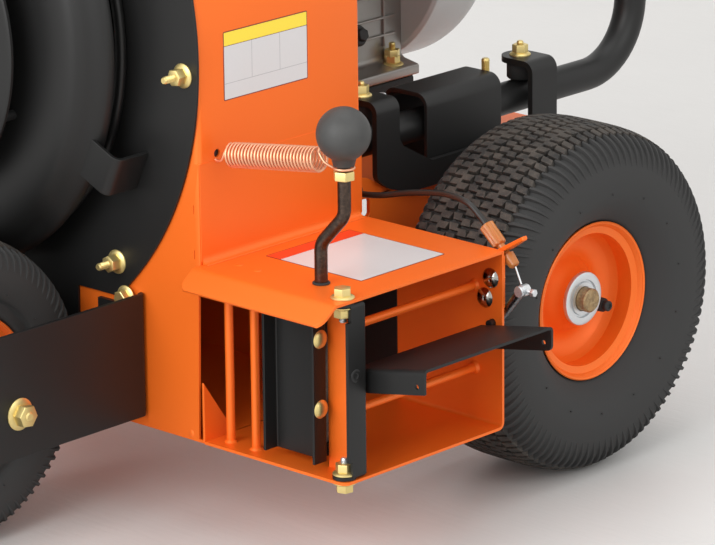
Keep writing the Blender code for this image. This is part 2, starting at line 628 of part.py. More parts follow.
def intake(build):
    """The bolted inlet plate, the rolled inlet ring, the two shields and the wire guard."""
    centre = (0, 0, FAN_Z)
    back = HOUSING_FRONT - GAP
    front = back - SHEET
    plate = build.piece("inlet_plate", turned([(0.2385, back), (INLET_PLATE_RADIUS, back),
                                               (INLET_PLATE_RADIUS, front), (0.2385, front)],
                                              "y", centre, 44), build.black)
    for low, high, top in FORK_NOTCHES:
        build.cut(plate, block((low, front - 0.01, 0.10), (high, back + 0.01, top)))
    ring = [(RING_BORE, back + 0.016), (0.2375, back + 0.016), (0.2375, front - GAP), (RING_RADIUS, front - GAP),
            (RING_RADIUS, front - 0.0085), (0.2380, front - 0.0095)]
    build.piece("inlet_ring", turned(ring, "y", centre, 30), build.black)

    shield = [(SHIELD_RADIUS, SHIELD_Y), (0.2450, SHIELD_Y - 0.0160), (0.2300, SHIELD_Y - 0.0300),
              (0.1500, SHIELD_Y - 0.0360)]
    profile = shield + [(radius, along + SHEET) for radius, along in reversed(shield)]
    ring_shield = build.piece("ring_shield", turned(profile, "y", centre, 32), build.black)
    for angle in TAB_ANGLES:
        path = [(0.2850, front - GAP), (0.2850, SHIELD_Y - 0.007), (0.2440, SHIELD_Y - 0.007)]
        tab = bent_sheet(path, 0.004, "z", -0.022, 0.022)
        spin = Matrix.Translation(centre) @ Matrix.Rotation(-angle, 4, "Y")
        bmesh.ops.transform(tab, matrix=spin, verts=tab.verts)
        build.weld(ring_shield, tab)

    disc = [(0, DISC_Y - 0.030), (0.070, DISC_Y - 0.024), (0.130, DISC_Y - 0.010), (DISC_RADIUS, DISC_Y)]
    profile = disc + [(radius, along + SHEET) for radius, along in reversed(disc)]
    disc_shield = build.piece("disc_shield", turned(profile, "y", centre, 24), build.black)
    for angle in TAB_ANGLES:
        x = 0.165 * math.cos(angle)
        z = FAN_Z + 0.165 * math.sin(angle)
        build.weld(disc_shield, rod(0.005, DISC_Y - 0.001, SHIELD_Y - 0.0360 - GAP, "y", (x, 0, z), 10))

    guard_y = back + 0.020
    guard = build.piece("inlet_guard", turned([(0.2255, guard_y), (0.2305, guard_y), (0.2305, guard_y + 0.005),
                                               (0.2255, guard_y + 0.005)], "y", centre, 24), build.black)
    loop = turned([(0.118, guard_y + 0.001), (0.122, guard_y + 0.001), (0.122, guard_y + 0.004),
                   (0.118, guard_y + 0.004)], "y", centre, 16)
    build.weld(guard, loop)
    for spoke in range(2):
        shape = block((-0.228, guard_y + 0.0005, -0.002), (0.228, guard_y + 0.0045, 0.002))
        spin = Matrix.Translation(centre) @ Matrix.Rotation(math.radians(90 * spoke + 22), 4, "Y")
        bmesh.ops.transform(shape, matrix=spin, verts=shape.verts)
        build.weld(guard, shape)


def fan(build):
    """The fan wheel on the engine's shaft."""
    centre = (0, 0, FAN_Z)
    plate_y = -0.226
    impeller = build.piece("impeller", turned([(SHAFT_RADIUS + GAP, plate_y), (0.270, plate_y),
                                               (0.270, plate_y - 0.004), (0.040, plate_y - 0.004),
                                               (0.034, plate_y - 0.060), (SHAFT_RADIUS + GAP, plate_y - 0.060)],
                                              "y", centre, 28), build.black, centre)
    for blade in range(BLADES):
        path = [(0.050, -0.020), (0.170, 0.008), (IMPELLER_RADIUS, 0.010)]
        vane = bent_sheet(path, 0.004, "y", -0.380, plate_y - 0.002)
        spin = Matrix.Translation(centre) @ Matrix.Rotation(2 * math.pi * blade / BLADES, 4, "Y")
        bmesh.ops.transform(vane, matrix=spin, verts=vane.verts)
        build.weld(impeller, vane)
    profile = [(0, -0.310), (0.010, -0.310), (0.010, -0.300), (0.020, -0.300), (0.020, -0.2865),
               (SHAFT_RADIUS, -0.2865), (SHAFT_RADIUS, -0.100), (0, -0.100)]
    build.piece("drive_shaft", turned(profile, "y", centre, 14), build.zinc, centre)


def deck(build):
    """The folded deck behind the housing, the engine's riser and the handle's mounts."""
    front = HOUSING_BACK + GAP
    (shoulder, wide), (waist, narrow) = DECK_TAPER
    outline = [(-wide, front), (wide, front), (wide, shoulder), (narrow, waist), (narrow, DECK_REAR),
               (-narrow, DECK_REAR), (-narrow, waist), (-wide, shoulder)]
    plate = build.piece("engine_deck", prism(outline, "z", DECK_Z - SHEET, DECK_Z), build.orange)
    for side in (-1, 1):
        skirt = [(front, DECK_Z - 0.0010), (front, 0.325), (-0.150, 0.316), (-0.115, DECK_Z - 0.0010),
                 (shoulder, DECK_Z - 0.0010), (shoulder, 0.215), (0.060, 0.200), (0.025, 0.155), (-0.060, 0.150),
                 (front, 0.150), (front, 0.266), (-0.158, 0.266), (-0.147, 0.277), (-0.147, 0.290),
                 (-0.150, DECK_Z - 0.0010)]
        x = (side * (DECK_HALF - PLATE), side * DECK_HALF)
        build.weld(plate, prism(skirt, "x", min(x), max(x)))
    build.cut(plate, rod(AXLE_RADIUS + GAP, -0.35, 0.35, "x", (0, 0, WHEEL_RADIUS), 12, 0))
    build.cut(plate, rod(0.0060, 0.30, 0.32, "x", (0, -0.1682, 0.3047)))

    low = DECK_Z + GAP
    hat = [(-0.145, low), (-0.118, low), (-0.118, ENGINE_BASE - GAP), (0.118, ENGINE_BASE - GAP),
           (0.118, low), (0.145, low)]
    lifted = [(x, z + SHEET if z == low else z) for x, z in hat]
    build.piece("engine_riser", bent_sheet(list(reversed(lifted)), SHEET, "y", -0.110, 0.133), build.black)


def handle_mounts(build):
    """The steel covers, brackets and rubber bushes that hold the handle's two tubes."""
    low = DECK_Z + GAP
    for side, word in ((1, "right"), (-1, "left")):
        path = [(COVER_X[0], low), (COVER_X[0], COVER_TOP), (COVER_X[1], COVER_TOP), (COVER_X[1], low)]
        path = [(side * x, z) for x, z in path]
        if side > 0:
            path.reverse()
        build.piece(f"isolator_cover_{word}", bent_sheet(path, COVER_SHEET, "y", *COVER_Y), build.black)

        (front_a, front_b, front_top), (rear_a, rear_b, rear_top) = BRACKET_UPRIGHTS
        plate = [(front_a, 0.325), (front_a + 0.007, 0.308), (front_a + 0.027, 0.296), (front_a + 0.049, BRACKET_LOW),
                 (rear_b, BRACKET_LOW), (rear_b, rear_top), (rear_a, rear_top),
                 (rear_a, 0.313), (front_b + 0.046, 0.313), (front_b, 0.342), (front_b, front_top),
                 (front_a, front_top)]
        outer = sorted((side * BRACKET_X, side * (BRACKET_X - BRACKET_SHEET)))
        bracket = build.piece(f"handle_bracket_{word}", prism(plate, "x", *outer), build.black)
        for near, far, top in BRACKET_UPRIGHTS:
            half = (far - near) / 2
            middle = (near + far) / 2
            tongue = [(BRACKET_X - SHEET, far), *arc((TUBE_X, middle), half, 90, 270, 6), (BRACKET_X - SHEET, near)]
            tongue = [(side * x, y) for x, y in tongue]
            build.weld(bracket, prism(tongue, "z", top - BRACKET_SHEET, top))
            build.weld(bracket, rod(0.0085, top - 0.001, top + 0.010, "z", (side * TUBE_X, middle, 0), 6))
            place_name = "front" if near < 0 else "rear"
            base = TUBE_Z + TUBE_RADIUS + GAP
            bush = rod(0.0150, base, top - BRACKET_SHEET - GAP, "z", (side * TUBE_X, middle, 0), 16)
            build.piece(f"isolator_{place_name}_{word}", bush, build.rubber)


def handle_corners():
    """The corners of the handle's tube, from the right mount over the top to the left mount."""
    rise = HANDLE_SHOULDER_Z - TUBE_Z
    shoulder = HANDLE_BEND_Y + rise / math.tan(HANDLE_LEAN)
    corners = []
    for side in (1, -1):
        leg = [(side * TUBE_X, -0.165, TUBE_Z), (side * TUBE_X, HANDLE_BEND_Y, TUBE_Z),
               (side * TUBE_X, shoulder, HANDLE_SHOULDER_Z), (side * TUBE_X, HANDLE_REAR, HANDLE_TOP_Z)]
        corners += leg if side > 0 else list(reversed(leg))
    return corners


def handle(build):
    """The bent handle tube with its grip, the control plate, its two levers and the switch."""
    route = rounded(handle_corners(), HANDLE_BEND_RADIUS, 5)
    build.piece("handle_frame", swept(route, TUBE_RADIUS, 12), build.black)
    bore = TUBE_RADIUS + 2 * GAP
    profile = [(bore, -GRIP_HALF), (GRIP_RADIUS, -GRIP_HALF), (GRIP_RADIUS, GRIP_HALF), (bore, GRIP_HALF)]
    grip = turned(profile, "x", (0, HANDLE_REAR, HANDLE_TOP_Z), 16)
    build.piece("handle_grip", grip, build.rubber)

    slope = 1 / math.tan(HANDLE_LEAN)
    wide = TUBE_X - TUBE_RADIUS - 0.001
    ahead = [(HANDLE_BEND_Y + (z - TUBE_Z) * slope, z) for z in CONTROL_Z]
    panel = build.piece("control_plate", bent_sheet(ahead, CONTROL_SHEET, "x", -wide, wide), build.black)
    pivot_y = HANDLE_BEND_Y + (LEVER_Z - TUBE_Z) * slope - 0.016
    for x, half in ((THROTTLE_X, 0.0048), (TRAJECTORY_X, 0.0058)):
        build.cut(panel, block((x - half, pivot_y - 0.05, LEVER_SLOT[0]), (x + half, pivot_y + 0.05, LEVER_SLOT[1])))
    switch_y = HANDLE_BEND_Y + (SWITCH_Z - TUBE_Z) * slope
    build.cut(panel, rod(0.0095, switch_y - 0.03, switch_y + 0.03, "y", (SWITCH_X, 0, SWITCH_Z), 20))
    for x, half, name, length, knob in ((THROTTLE_X, 0.0035, "throttle_lever", 0.055, 0.009),
                                        (TRAJECTORY_X, 0.0045, "trajectory_lever", 0.085, 0.014)):
        origin = (x, pivot_y, LEVER_Z)
        hub = rod(0.010, x - half, x + half, "x", (0, pivot_y, LEVER_Z), 16)
        lever = build.piece(name, hub, build.zinc, origin)
        build.weld(lever, block((x - half * 0.7, pivot_y, LEVER_Z - 0.004),
                                (x + half * 0.7, pivot_y + length, LEVER_Z + 0.004)))
        build.weld(lever, rod(knob, pivot_y + length - 0.010, pivot_y + length + 0.022, "y", (x, 0, LEVER_Z), 16))
        for way in (-1, 1):
            near = x + way * (half + GAP)
            cheek = sorted((near, near + way * 0.003))
            ear = block((cheek[0], pivot_y - 0.011, LEVER_Z - 0.011), (cheek[1], pivot_y + 0.0185, LEVER_Z + 0.011))
            build.weld(panel, ear)
    neck = rod(0.0088, switch_y - 0.022, switch_y + 0.007, "y", (SWITCH_X, 0, SWITCH_Z), 16)
    switch = build.piece("ignition_switch", neck, build.plastic, (SWITCH_X, switch_y, SWITCH_Z))
    build.weld(switch, rod(0.016, switch_y + 0.0068, switch_y + 0.012, "y", (SWITCH_X, 0, SWITCH_Z), 16))
    build.weld(switch, block((SWITCH_X - 0.002, switch_y + 0.010, SWITCH_Z - 0.013),
                             (SWITCH_X + 0.002, switch_y + 0.026, SWITCH_Z + 0.013)))


def engine(build):
    """A single-cylinder engine with its shaft to the front and the starter to the rear."""
    centre = (0, 0, FAN_Z)
    outline = [(-0.125, ENGINE_BASE), (0.125, ENGINE_BASE), (0.125, ENGINE_BASE + 0.016), (0.098, ENGINE_BASE + 0.022),
               (0.098, 0.560), (0.060, CASE_TOP), (-0.060, CASE_TOP), (-0.098, 0.570), (-0.098, ENGINE_BASE + 0.022),
               (-0.125, ENGINE_BASE + 0.016)]
    case = build.piece("crankcase", prism(outline, "y", *CASE_Y), build.casting)
    for x in (-0.110, 0.110):
        for y in (-0.050, 0.111):
            build.weld(case, hexagon(0.009, ENGINE_BASE + 0.010, ENGINE_BASE + 0.028, "z", (x, y, 0)))
    boss = [(SHAFT_RADIUS + 2 * GAP, CASE_Y[0] - 0.030), (0.070, CASE_Y[0] - 0.030), (0.070, CASE_Y[0] + 0.002),
            (SHAFT_RADIUS + 2 * GAP, CASE_Y[0] + 0.002)]
    build.cut(case, rod(SHAFT_RADIUS + GAP, CASE_Y[0] - 0.02, -0.090, "y", centre, 20))
    build.weld(case, turned(boss, "y", centre, 20, 0.11))

    out = Vector((math.cos(CYLINDER_TILT), 0, math.sin(CYLINDER_TILT)))
    turn = Matrix.Translation(centre) @ Matrix.Rotation(-CYLINDER_TILT, 4, "Y")
    barrel = block((0.112, -0.060, -0.062), (0.235, 0.066, 0.062))
    bmesh.ops.transform(barrel, matrix=turn, verts=barrel.verts)
    cylinder = build.piece("cylinder", barrel, build.casting)
    cover = block((0.2340, -0.044, -0.046), (0.2620, 0.050, 0.046))
    bmesh.ops.transform(cover, matrix=turn, verts=cover.verts)
    build.weld(cylinder, cover)
    build.cut(cylinder, block((0.0, -0.2, 0.30), (0.0983, 0.2, 0.70)))

    shroud = turned([(0, SHROUD_Y[0]), (SHROUD_RADIUS - 0.004, SHROUD_Y[0]), (SHROUD_RADIUS, SHROUD_Y[0] + 0.006),
                     (SHROUD_RADIUS, SHROUD_Y[1] - 0.030), (0.130, SHROUD_Y[1]), (0, SHROUD_Y[1])], "y", centre, 30)
    shell = build.piece("fan_shroud", shroud, build.shroud)
    duct = block((0.040, SHROUD_Y[0], -0.062), (0.245, SHROUD_Y[0] + 0.040, 0.062))
    bmesh.ops.transform(duct, matrix=turn, verts=duct.verts)
    build.weld(shell, duct)

    start = SHROUD_Y[1] + GAP
    build.piece("recoil_starter", turned([(0, start), (0.112, start), (0.112, start + 0.012), (0.085, start + 0.034),
                                          (0, start + 0.040)], "y", centre, 32), build.plastic)
    grip_at = (0.1335, start + 0.018, FAN_Z + 0.060)
    handle = block((0.1200, start + 0.010, FAN_Z + 0.046), (0.1340, start + 0.026, FAN_Z + 0.082))
    grip = build.piece("starter_grip", handle, build.plastic, grip_at)
    build.weld(grip, rod(0.0035, 0.1080, 0.1240, "x", (0, start + 0.018, FAN_Z + 0.060), 10))

    tank_low = 0.668
    shape = [(-0.205, tank_low), (0.108, tank_low), (0.128, tank_low + 0.022), (0.128, 0.752), (0.108, 0.776),
             (-0.185, 0.776), (-0.205, 0.756)]
    tank = build.piece("fuel_tank", prism(shape, "y", -0.090, 0.200), build.plastic)
    for x in (-0.070, 0.050):
        build.weld(tank, block((x - 0.015, -0.050, CASE_TOP + GAP), (x + 0.015, 0.110, tank_low + 0.002)))
    build.weld(tank, rod(0.026, 0.774, 0.7840, "z", (-0.060, 0.050, 0), 24))
    build.piece("fuel_cap", turned([(0, 0.7843), (0.034, 0.7843), (0.036, 0.788), (0.036, 0.802), (0.032, 0.806),
                                    (0, 0.806)], "z", (-0.060, 0.050, 0), 24), build.plastic, (-0.060, 0.050, 0.7843))
    cleaner = build.piece("air_cleaner", block((0.1420, 0.020, 0.640), (0.2620, 0.130, 0.7600)), build.plastic)
    build.weld(cleaner, rod(0.022, 0.6180, 0.642, "z", (0.170, 0.045, 0), 20))
    muffler = build.piece("muffler", block((0.1420, -0.160, 0.640), (0.2580, 0.008, 0.7400)), build.zinc)
    build.weld(muffler, rod(0.016, 0.6180, 0.642, "z", (0.170, -0.030, 0), 20))
    build.weld(muffler, rod(0.014, 0.256, 0.290, "x", (0, -0.130, 0.700), 16))
    for item in (cleaner, muffler):
        saddle = block((0.100, -0.064, -0.070), (0.265, 0.070, 0.0665))
        bmesh.ops.transform(saddle, matrix=turn, verts=saddle.verts)
        build.cut(item, saddle)


def tyre_profile(radius, width, bore, bead):
    """A pneumatic tyre's section: tread, shoulders, bulging side walls and beads."""
    half = width / 2
    left = [(bore, -bead), (bore + 0.0150, -bead - 0.0065), (radius * 0.72, -half), (radius * 0.87, -half + 0.003),
            (radius * 0.957, -half * 0.79)]
    right = [(around, -along) for around, along in reversed(left)]
    return left + [(radius, 0)] + right


def rim_profile(flange, half, bore, hub_half):
    """A one-piece wheel: flanged well, dished disc and hub tube."""
    well = flange - 0.014
    wall = 0.003
    inner = well - wall
    return [(flange, -half), (well, -half + 0.007), (well, half - 0.007), (flange, half), (inner, half - 0.006),
            (inner, 0.008), (0.030, 0.016), (0.028, hub_half), (bore, hub_half), (bore, -hub_half),
            (0.028, -hub_half), (inner, 0.002), (inner, -half + 0.006)]


def wheels(build):
    """The two rear wheels on their axle, and the front wheel."""
    for side, word in ((1, "right"), (-1, "left")):
        centre = (side * WHEEL_X, 0, WHEEL_RADIUS)
        bead = RIM_HALF - 0.0085
        tyre = tyre_profile(WHEEL_RADIUS, WHEEL_WIDTH, RIM_RADIUS - 0.0137, bead)
        build.piece(f"rear_tyre_{word}", turned(tyre, "x", centre, 24), build.rubber, centre)
        section = rim_profile(RIM_RADIUS, RIM_HALF, AXLE_RADIUS + GAP, HUB_HALF)
        rim = [(radius, side * along) for radius, along in section]
        build.piece(f"rear_rim_{word}", turned(rim, "x", centre, 24), build.orange, centre)
    half = [(AXLE_RADIUS, DECK_HALF - 0.016), (0.021, DECK_HALF - 0.016), (0.021, DECK_HALF - 0.006),
            (AXLE_RADIUS, DECK_HALF - 0.006), (AXLE_RADIUS, DECK_HALF + 0.001), (0.021, DECK_HALF + 0.001),
            (0.021, WHEEL_X - HUB_HALF - 0.001), (AXLE_RADIUS, WHEEL_X - HUB_HALF - 0.001), (AXLE_RADIUS, AXLE_END),
            (0, AXLE_END)]
    axle = [(radius, -along) for radius, along in reversed(half)] + half
    build.piece("rear_axle", turned(axle, "x", (0, 0, WHEEL_RADIUS), 12), build.zinc)

    centre = (FRONT_X, FRONT_Y, FRONT_RADIUS)
    bead = FRONT_RIM_HALF - 0.0085
    tyre = tyre_profile(FRONT_RADIUS, FRONT_WIDTH, RIM_RADIUS - 0.0137, bead)
    build.piece("front_tyre", turned(tyre, "x", centre, 24), build.rubber, centre)
    rim = rim_profile(RIM_RADIUS, FRONT_RIM_HALF, 0.0080 + GAP, 0.058)
    build.piece("front_rim", turned(rim, "x", centre, 24), build.orange, centre)


def front_fork(build):
    """Two folded arms bolted to the housing's front, and the bolt that carries the front wheel."""
    root = HOUSING_FRONT - GAP
    for side, word in ((1, "right"), (-1, "left")):
        outer = FRONT_X + side * FORK_HALF
        inner = FRONT_X + side * 0.068
        path = [(outer, FORK_TIP_Y), (outer, root), (inner, root)]
        if side < 0:
            path.reverse()
        top = FORK_TOP[word]
        arm = build.piece(f"front_fork_{word}", bent_sheet(path, PLATE, "z", FORK_LOW, top), build.black)
        if top > FORK_FLANGE_TOP:
            build.cut(arm, block((inner - 0.01, root - 0.01, FORK_FLANGE_TOP),
                                 (outer - PLATE - GAP, root + 0.01, top + 0.01)))
        for corner_z, way in ((FORK_LOW, 1), (top, -1)):
            corner = [(FORK_TIP_Y - 0.01, corner_z - way * 0.01), (FORK_TIP_Y + 0.035, corner_z - way * 0.01),
                      (FORK_TIP_Y + 0.035, corner_z)]
            corner += arc((FORK_TIP_Y + 0.035, corner_z + way * 0.035), 0.035, -90 * way, -90 * way - 90 * way, 5)[1:]
            corner += [(FORK_TIP_Y - 0.01, corner_z + way * 0.035)]
            build.cut(arm, prism(corner, "x", outer - 0.01, outer + 0.01))
        build.cut(arm, rod(0.0085, outer - 0.01, outer + 0.01, "x", (0, FRONT_Y, FRONT_RADIUS), 16))
        for z in (FORK_LOW + 0.024, FORK_LOW + 0.090):
            x = FRONT_X + side * 0.088
            build.weld(arm, hexagon(0.0085, root - PLATE - 0.008, root - PLATE + 0.001, "y", (x, 0, z)))
    reach = FORK_HALF + GAP
    spacer = FORK_HALF - PLATE - GAP
    half = [(0.0080, 0.055), (0.0080, 0.0586), (0.0125, 0.0586), (0.0125, spacer), (0.0080, spacer)]
    middle = [(radius, -along) for radius, along in reversed(half)] + half
    profile = [(0, -reach - 0.012), (0.0080, -reach - 0.012)] + middle + [(0.0080, reach + 0.004), (0, reach + 0.004)]
    centre = (FRONT_X, FRONT_Y, FRONT_RADIUS)
    bolt = build.piece("front_axle", turned(profile, "x", centre, 12), build.gold)
    build.weld(bolt, hexagon(0.0150, reach, reach + 0.010, "x", centre))
    build.weld(bolt, hexagon(0.0150, -reach - 0.011, -reach, "x", centre))


def main():
    for item in list(bpy.data.objects):
        bpy.data.objects.remove(item, do_unlink=True)
    build = Builder()
    housing(build)
    discharge_box(build)
    corner_post(build)
    split_flap(build)
    return_spring(build)
    trajectory_deflector(build)
    control_cable(build)
    intake(build)
    fan(build)
    deck(build)
    handle_mounts(build)
    handle(build)
    engine(build)
    wheels(build)
    front_fork(build)


main()
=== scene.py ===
"""Detailed pieces and finishes for a walk-behind leaf blower, laid out as a Blender add-on.

Metres, +Z up. Shapes are given in the machine's own frame: X from the fan's axis, Y from the
rear axle and Z from the ground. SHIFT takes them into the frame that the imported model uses.
"""
import math

import bmesh
import bpy
from bpy.props import FloatProperty, FloatVectorProperty, IntProperty, PointerProperty
from mathutils import Matrix, Vector


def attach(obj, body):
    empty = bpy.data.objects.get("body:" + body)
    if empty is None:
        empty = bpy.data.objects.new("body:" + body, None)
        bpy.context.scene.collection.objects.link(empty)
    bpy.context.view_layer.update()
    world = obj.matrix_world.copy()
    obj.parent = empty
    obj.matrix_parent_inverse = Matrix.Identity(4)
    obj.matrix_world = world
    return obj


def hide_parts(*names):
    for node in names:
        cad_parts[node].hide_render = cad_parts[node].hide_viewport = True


bl_info = {
    "name": "Wheeled leaf blower",
    "version": (1, 0, 0),
    "blender": (4, 5, 0),
    "location": "3D View > Sidebar > Blower",
    "description": "Detailed pieces and finishes for a walk-behind leaf blower",
    "category": "Object",
}

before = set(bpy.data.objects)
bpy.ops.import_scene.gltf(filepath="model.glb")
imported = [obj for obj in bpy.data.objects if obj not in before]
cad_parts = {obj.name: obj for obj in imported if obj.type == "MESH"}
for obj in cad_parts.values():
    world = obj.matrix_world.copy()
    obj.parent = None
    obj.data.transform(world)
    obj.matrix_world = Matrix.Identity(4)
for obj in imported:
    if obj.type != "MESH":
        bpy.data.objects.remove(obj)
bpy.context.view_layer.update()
SHIFT = Vector((-0.046, 0.05025, 0.0))
CHASSIS = "chassis"

# Camera
CAMERA_PLACE = (3.46383, -3.5212, 1.64215)
CAMERA_AZIMUTH = math.radians(43.2124)
CAMERA_ELEVATION = math.radians(17.1934)
CAMERA_ROLL = math.radians(-0.6041)
CAMERA_LENS = 236.81
CAMERA_SHIFT_Y = 0.0267

# Fan housing
FAN_Z = 0.495
HOUSING_FRONT = -0.422
HOUSING_BACK = -0.187
WALL_X = 0.338
SCROLL_GROWTH = 0.056
FLOOR_Z = 0.101
SHEET = 0.003
GAP = 0.0003
INLET_HOLE = 0.24
SHAFT_HOLE = 0.04
INLET_PLATE_RADIUS = 0.342
STAY_RADIUS = 0.165
GUARD_RINGS = (0.228, 0.198, 0.168, 0.138, 0.108, 0.078, 0.048)
SPRING_HOLE = 0.0042
SLOTS_Z = (0.3445, 0.298)
FAN_DISC_RADIUS = 0.268
FAN_PLATE_Y = -0.226
FAN_BLADES = 6
SEAM_Z = 0.3925

# Fasteners, as flange radius, width across the flats and height
POST_HEAD = (0.012, 0.0157, 0.0085)
INLET_NUT = (0.0125, 0.0155, 0.0115)
DISC_BOLT = (0.0085, 0.0105, 0.006)
RISER_BOLT = (0.0095, 0.013, 0.0075)
FORK_BOLT = (0.011, 0.0145, 0.008)
FRONT_AXLE_HEAD = (0.0165, 0.0205, 0.011)

# Discharge box
BOX_X = 0.532
BOX_TOP = 0.289
VISOR_CORNER = 0.012
STRIP_X = (0.4834, 0.509)
STRIP_Y = (-0.394, -0.391)
BAR_RADIUS = 0.0045
FRONT_BARS_X = (0.358, 0.3935)
FRONT_BAR_Y = -0.404
SIDE_BAR_X = 0.4945
SIDE_BARS_Z = (0.2462, 0.1595)
POST_Y = (-0.4157, -0.389)
POST_RELIEF = (-0.411, 0.019)
POST_FLANGE = 0.02
POST_BOLT = (0.519, -0.4092)
BOLT_HOLE = 0.0055
TONGUE = 0.012
DOUBLER_X = (0.5, 0.532)
DOUBLER_Z = (0.228, 0.284)
DOUBLER_SHEET = 0.0018
TAB_PATH = ((0.512, 0.2773), (0.5575, 0.3043))
TAB_SHEET = 0.0045
TAB_TAPER = ((0.528, -0.166), (0.56, -0.1812))
WALL_BOLTS = ((0.5167, 0.2583), (0.5089, 0.2363))

# Deflector
DEFLECTOR_AXIS = (0.519, 0.2115)
DEFLECTOR_Y = (-0.385, -0.1945)
DEFLECTOR_DEPTH = 0.025
DEFLECTOR_TIP_X = 0.6035
DEFLECTOR_TILT = math.radians(10.4)
ARM_Y = (-0.1835, -0.18)

# Flap lever and spring
FLAP_AXIS = (0.4706, -0.388)
FLAP_X = (0.417, 0.487)
FLAP_Y = (-0.418, -0.398)
FLAP_Z = (0.112, 0.26)
LEVER_TOP = (0.499, -0.384)
LEVER_BENDS = (0.33, 0.362)
KNOB_Z = 0.4449
KNOB_RADIUS = 0.027
KNOB_NECK_Z = 0.4131
SPRING_HOOK = (WALL_X, -0.396, 0.399)
SPRING_RADIUS = 0.0118
SPRING_LOOP_Z = 0.4112

# Control cable
FERRULE_TOP = Vector((0.4988, -0.1765, 0.3075))
FERRULE_END = Vector((0.5375, -0.1765, 0.272))
SWIVEL = Vector((0.5485, -0.1765, 0.2485))
CABLE_RADIUS = 0.0032
CABLE_POINTS = ((0.474, -0.177, 0.326), (0.44, -0.174, 0.328), (0.39, -0.169, 0.319),
                (0.335, -0.169, 0.306), (0.27, -0.165, 0.303), (0.215, -0.135, 0.303),
                (0.185, -0.07, 0.303), (0.178, 0.03, 0.303), (0.19, 0.125, 0.305),
                (0.2197, 0.17, 0.315), (0.245, 0.21, 0.327), (0.264, 0.248, 0.337),
                (0.268, 0.284, 0.349), (0.268, 0.312, 0.377), (0.268, 0.3215, 0.4147),
                (0.268, 0.34, 0.6), (0.261, 0.348, 0.69), (0.235, 0.347, 0.75),
                (0.2, 0.341, 0.792))

# Wheels
WHEEL_RADIUS = 0.184
WHEEL_X = 0.4385
WHEEL_HALF = 0.073
RIM_RADIUS = 0.0844
RIM_HALF = 0.0531
HUB_HALF = 0.0405
AXLE_RADIUS = 0.0127
AXLE_END = 0.4896
COLLAR_RADIUS = 0.021
FRONT_AXLE_RADIUS = 0.008
FRONT_RADIUS = 0.161
FRONT_HALF = 0.064
FRONT_RIM_HALF = 0.057
FRONT_HUB_HALF = 0.058
FRONT_X = 0.126
FRONT_Y = -0.6
FORK_HALF = 0.134
FORK_LOW = 0.115
FORK_END_Y = -0.668
FORK_CORNER = 0.035
FORK_BOLTS_Z = (0.139, 0.205)

# Deck, mounts and handle
DECK_Z = 0.297
DECK_HALF = 0.3115
DECK_REAR = 0.2
DECK_TAPER = ((0.07, 0.3115), (0.11, 0.235))
DECK_LOW = 0.15
CABLE_HOLE = (-0.1682, 0.3047)
RISER_TOP_X = 0.118
RISER_FOOT_X = 0.145
RISER_Y = (-0.11, 0.133)
RISER_BOLTS_X = 0.132
RISER_BOLTS_Y = (-0.08, 0.105)
TUBE_X = 0.285
TUBE_Z = 0.3475
TUBE_RADIUS = 0.0174
COVER_X = (0.249, 0.311)
COVER_Y = (-0.057, 0.06)
COVER_TOP = 0.386
COVER_SHEET = 0.005
BRACKET_X = 0.32
BRACKET_SHEET = 0.0065
BRACKET_LOW = 0.29
BRACKET_UPRIGHTS = ((-0.1445, -0.1095, 0.3955), (0.1, 0.14, 0.391))
BRACKET_BOLTS = (-0.1305, 0.12)
HANDLE_BEND_Y = 0.2962
HANDLE_BEND_RADIUS = 0.075
HANDLE_LEAN = math.radians(84)
HANDLE_SHOULDER_Z = 0.965
HANDLE_TOP_Z = 1.02
HANDLE_REAR = 0.64
LEVER_X = {"throttle": 0.09, "trajectory": 0.19}
SWITCH_X = -0.12
GRIP_RADIUS = 0.0205
GRIP_HALF = 0.19
LEVER_Z = 0.87
SWITCH_Z = 0.868

# Engine
ENGINE_BASE = 0.34
CASE_Y = (-0.13, 0.135)
CASE_TOP = 0.61
SHROUD_RADIUS = 0.164
SHROUD_Y = (0.1353, 0.232)
CYLINDER_TILT = math.radians(25)
CASE_HALF = 0.0985
FOOT_HALF = 0.125
FIN_PITCH = 0.0078
TANK_LOW = 0.668
TANK_TOP = 0.776
TANK_SEAM_Z = (0.718, 0.7215)
CAP_PLACE = (-0.06, 0.05)

AXES = {"x": (1, 2, 0), "y": (0, 2, 1), "z": (0, 1, 2)}


# Shapes

def place(u, v, along, axis):
    """Puts a flat point (u, v) and a distance along an axis into (x, y, z)."""
    point = [0.0, 0.0, 0.0]
    first, second, third = AXES[axis]
    point[first] = u
    point[second] = v
    point[third] = along
    return Vector(point)


def arc(centre, radius, start, end, steps):
    """Points on a flat arc, with the angles in degrees."""
    points = []
    for step in range(steps + 1):
        angle = math.radians(start + (end - start) * step / steps)
        points.append((centre[0] + radius * math.cos(angle), centre[1] + radius * math.sin(angle)))
    return points


def corner(before, here, after, radius, steps):
    """The points that round one corner of a route."""
    into = (here - before).normalized()
    out = (after - here).normalized()
    bend = into.angle(out)
    if radius == 0 or bend < 0.01:
        return [here]
    room = 0.49 * min((here - before).length, (after - here).length)
    cut = radius * math.tan(bend / 2)
    if cut > room:
        radius *= room / cut
        cut = room
    inward = (out - into * into.dot(out)).normalized()
    centre = here - into * cut + inward * radius
    points = []
    for step in range(steps + 1):
        angle = bend * step / steps
        points.append(centre - inward * radius * math.cos(angle) + into * radius * math.sin(angle))
    return points


def bent(path, radius, steps=5):
    """An open route with its inner corners rounded."""
    points = [Vector(point) for point in path]
    route = [points[0]]
    for before, here, after in zip(points, points[1:], points[2:]):
        route += corner(before, here, after, radius, steps)
    return route + [points[-1]]


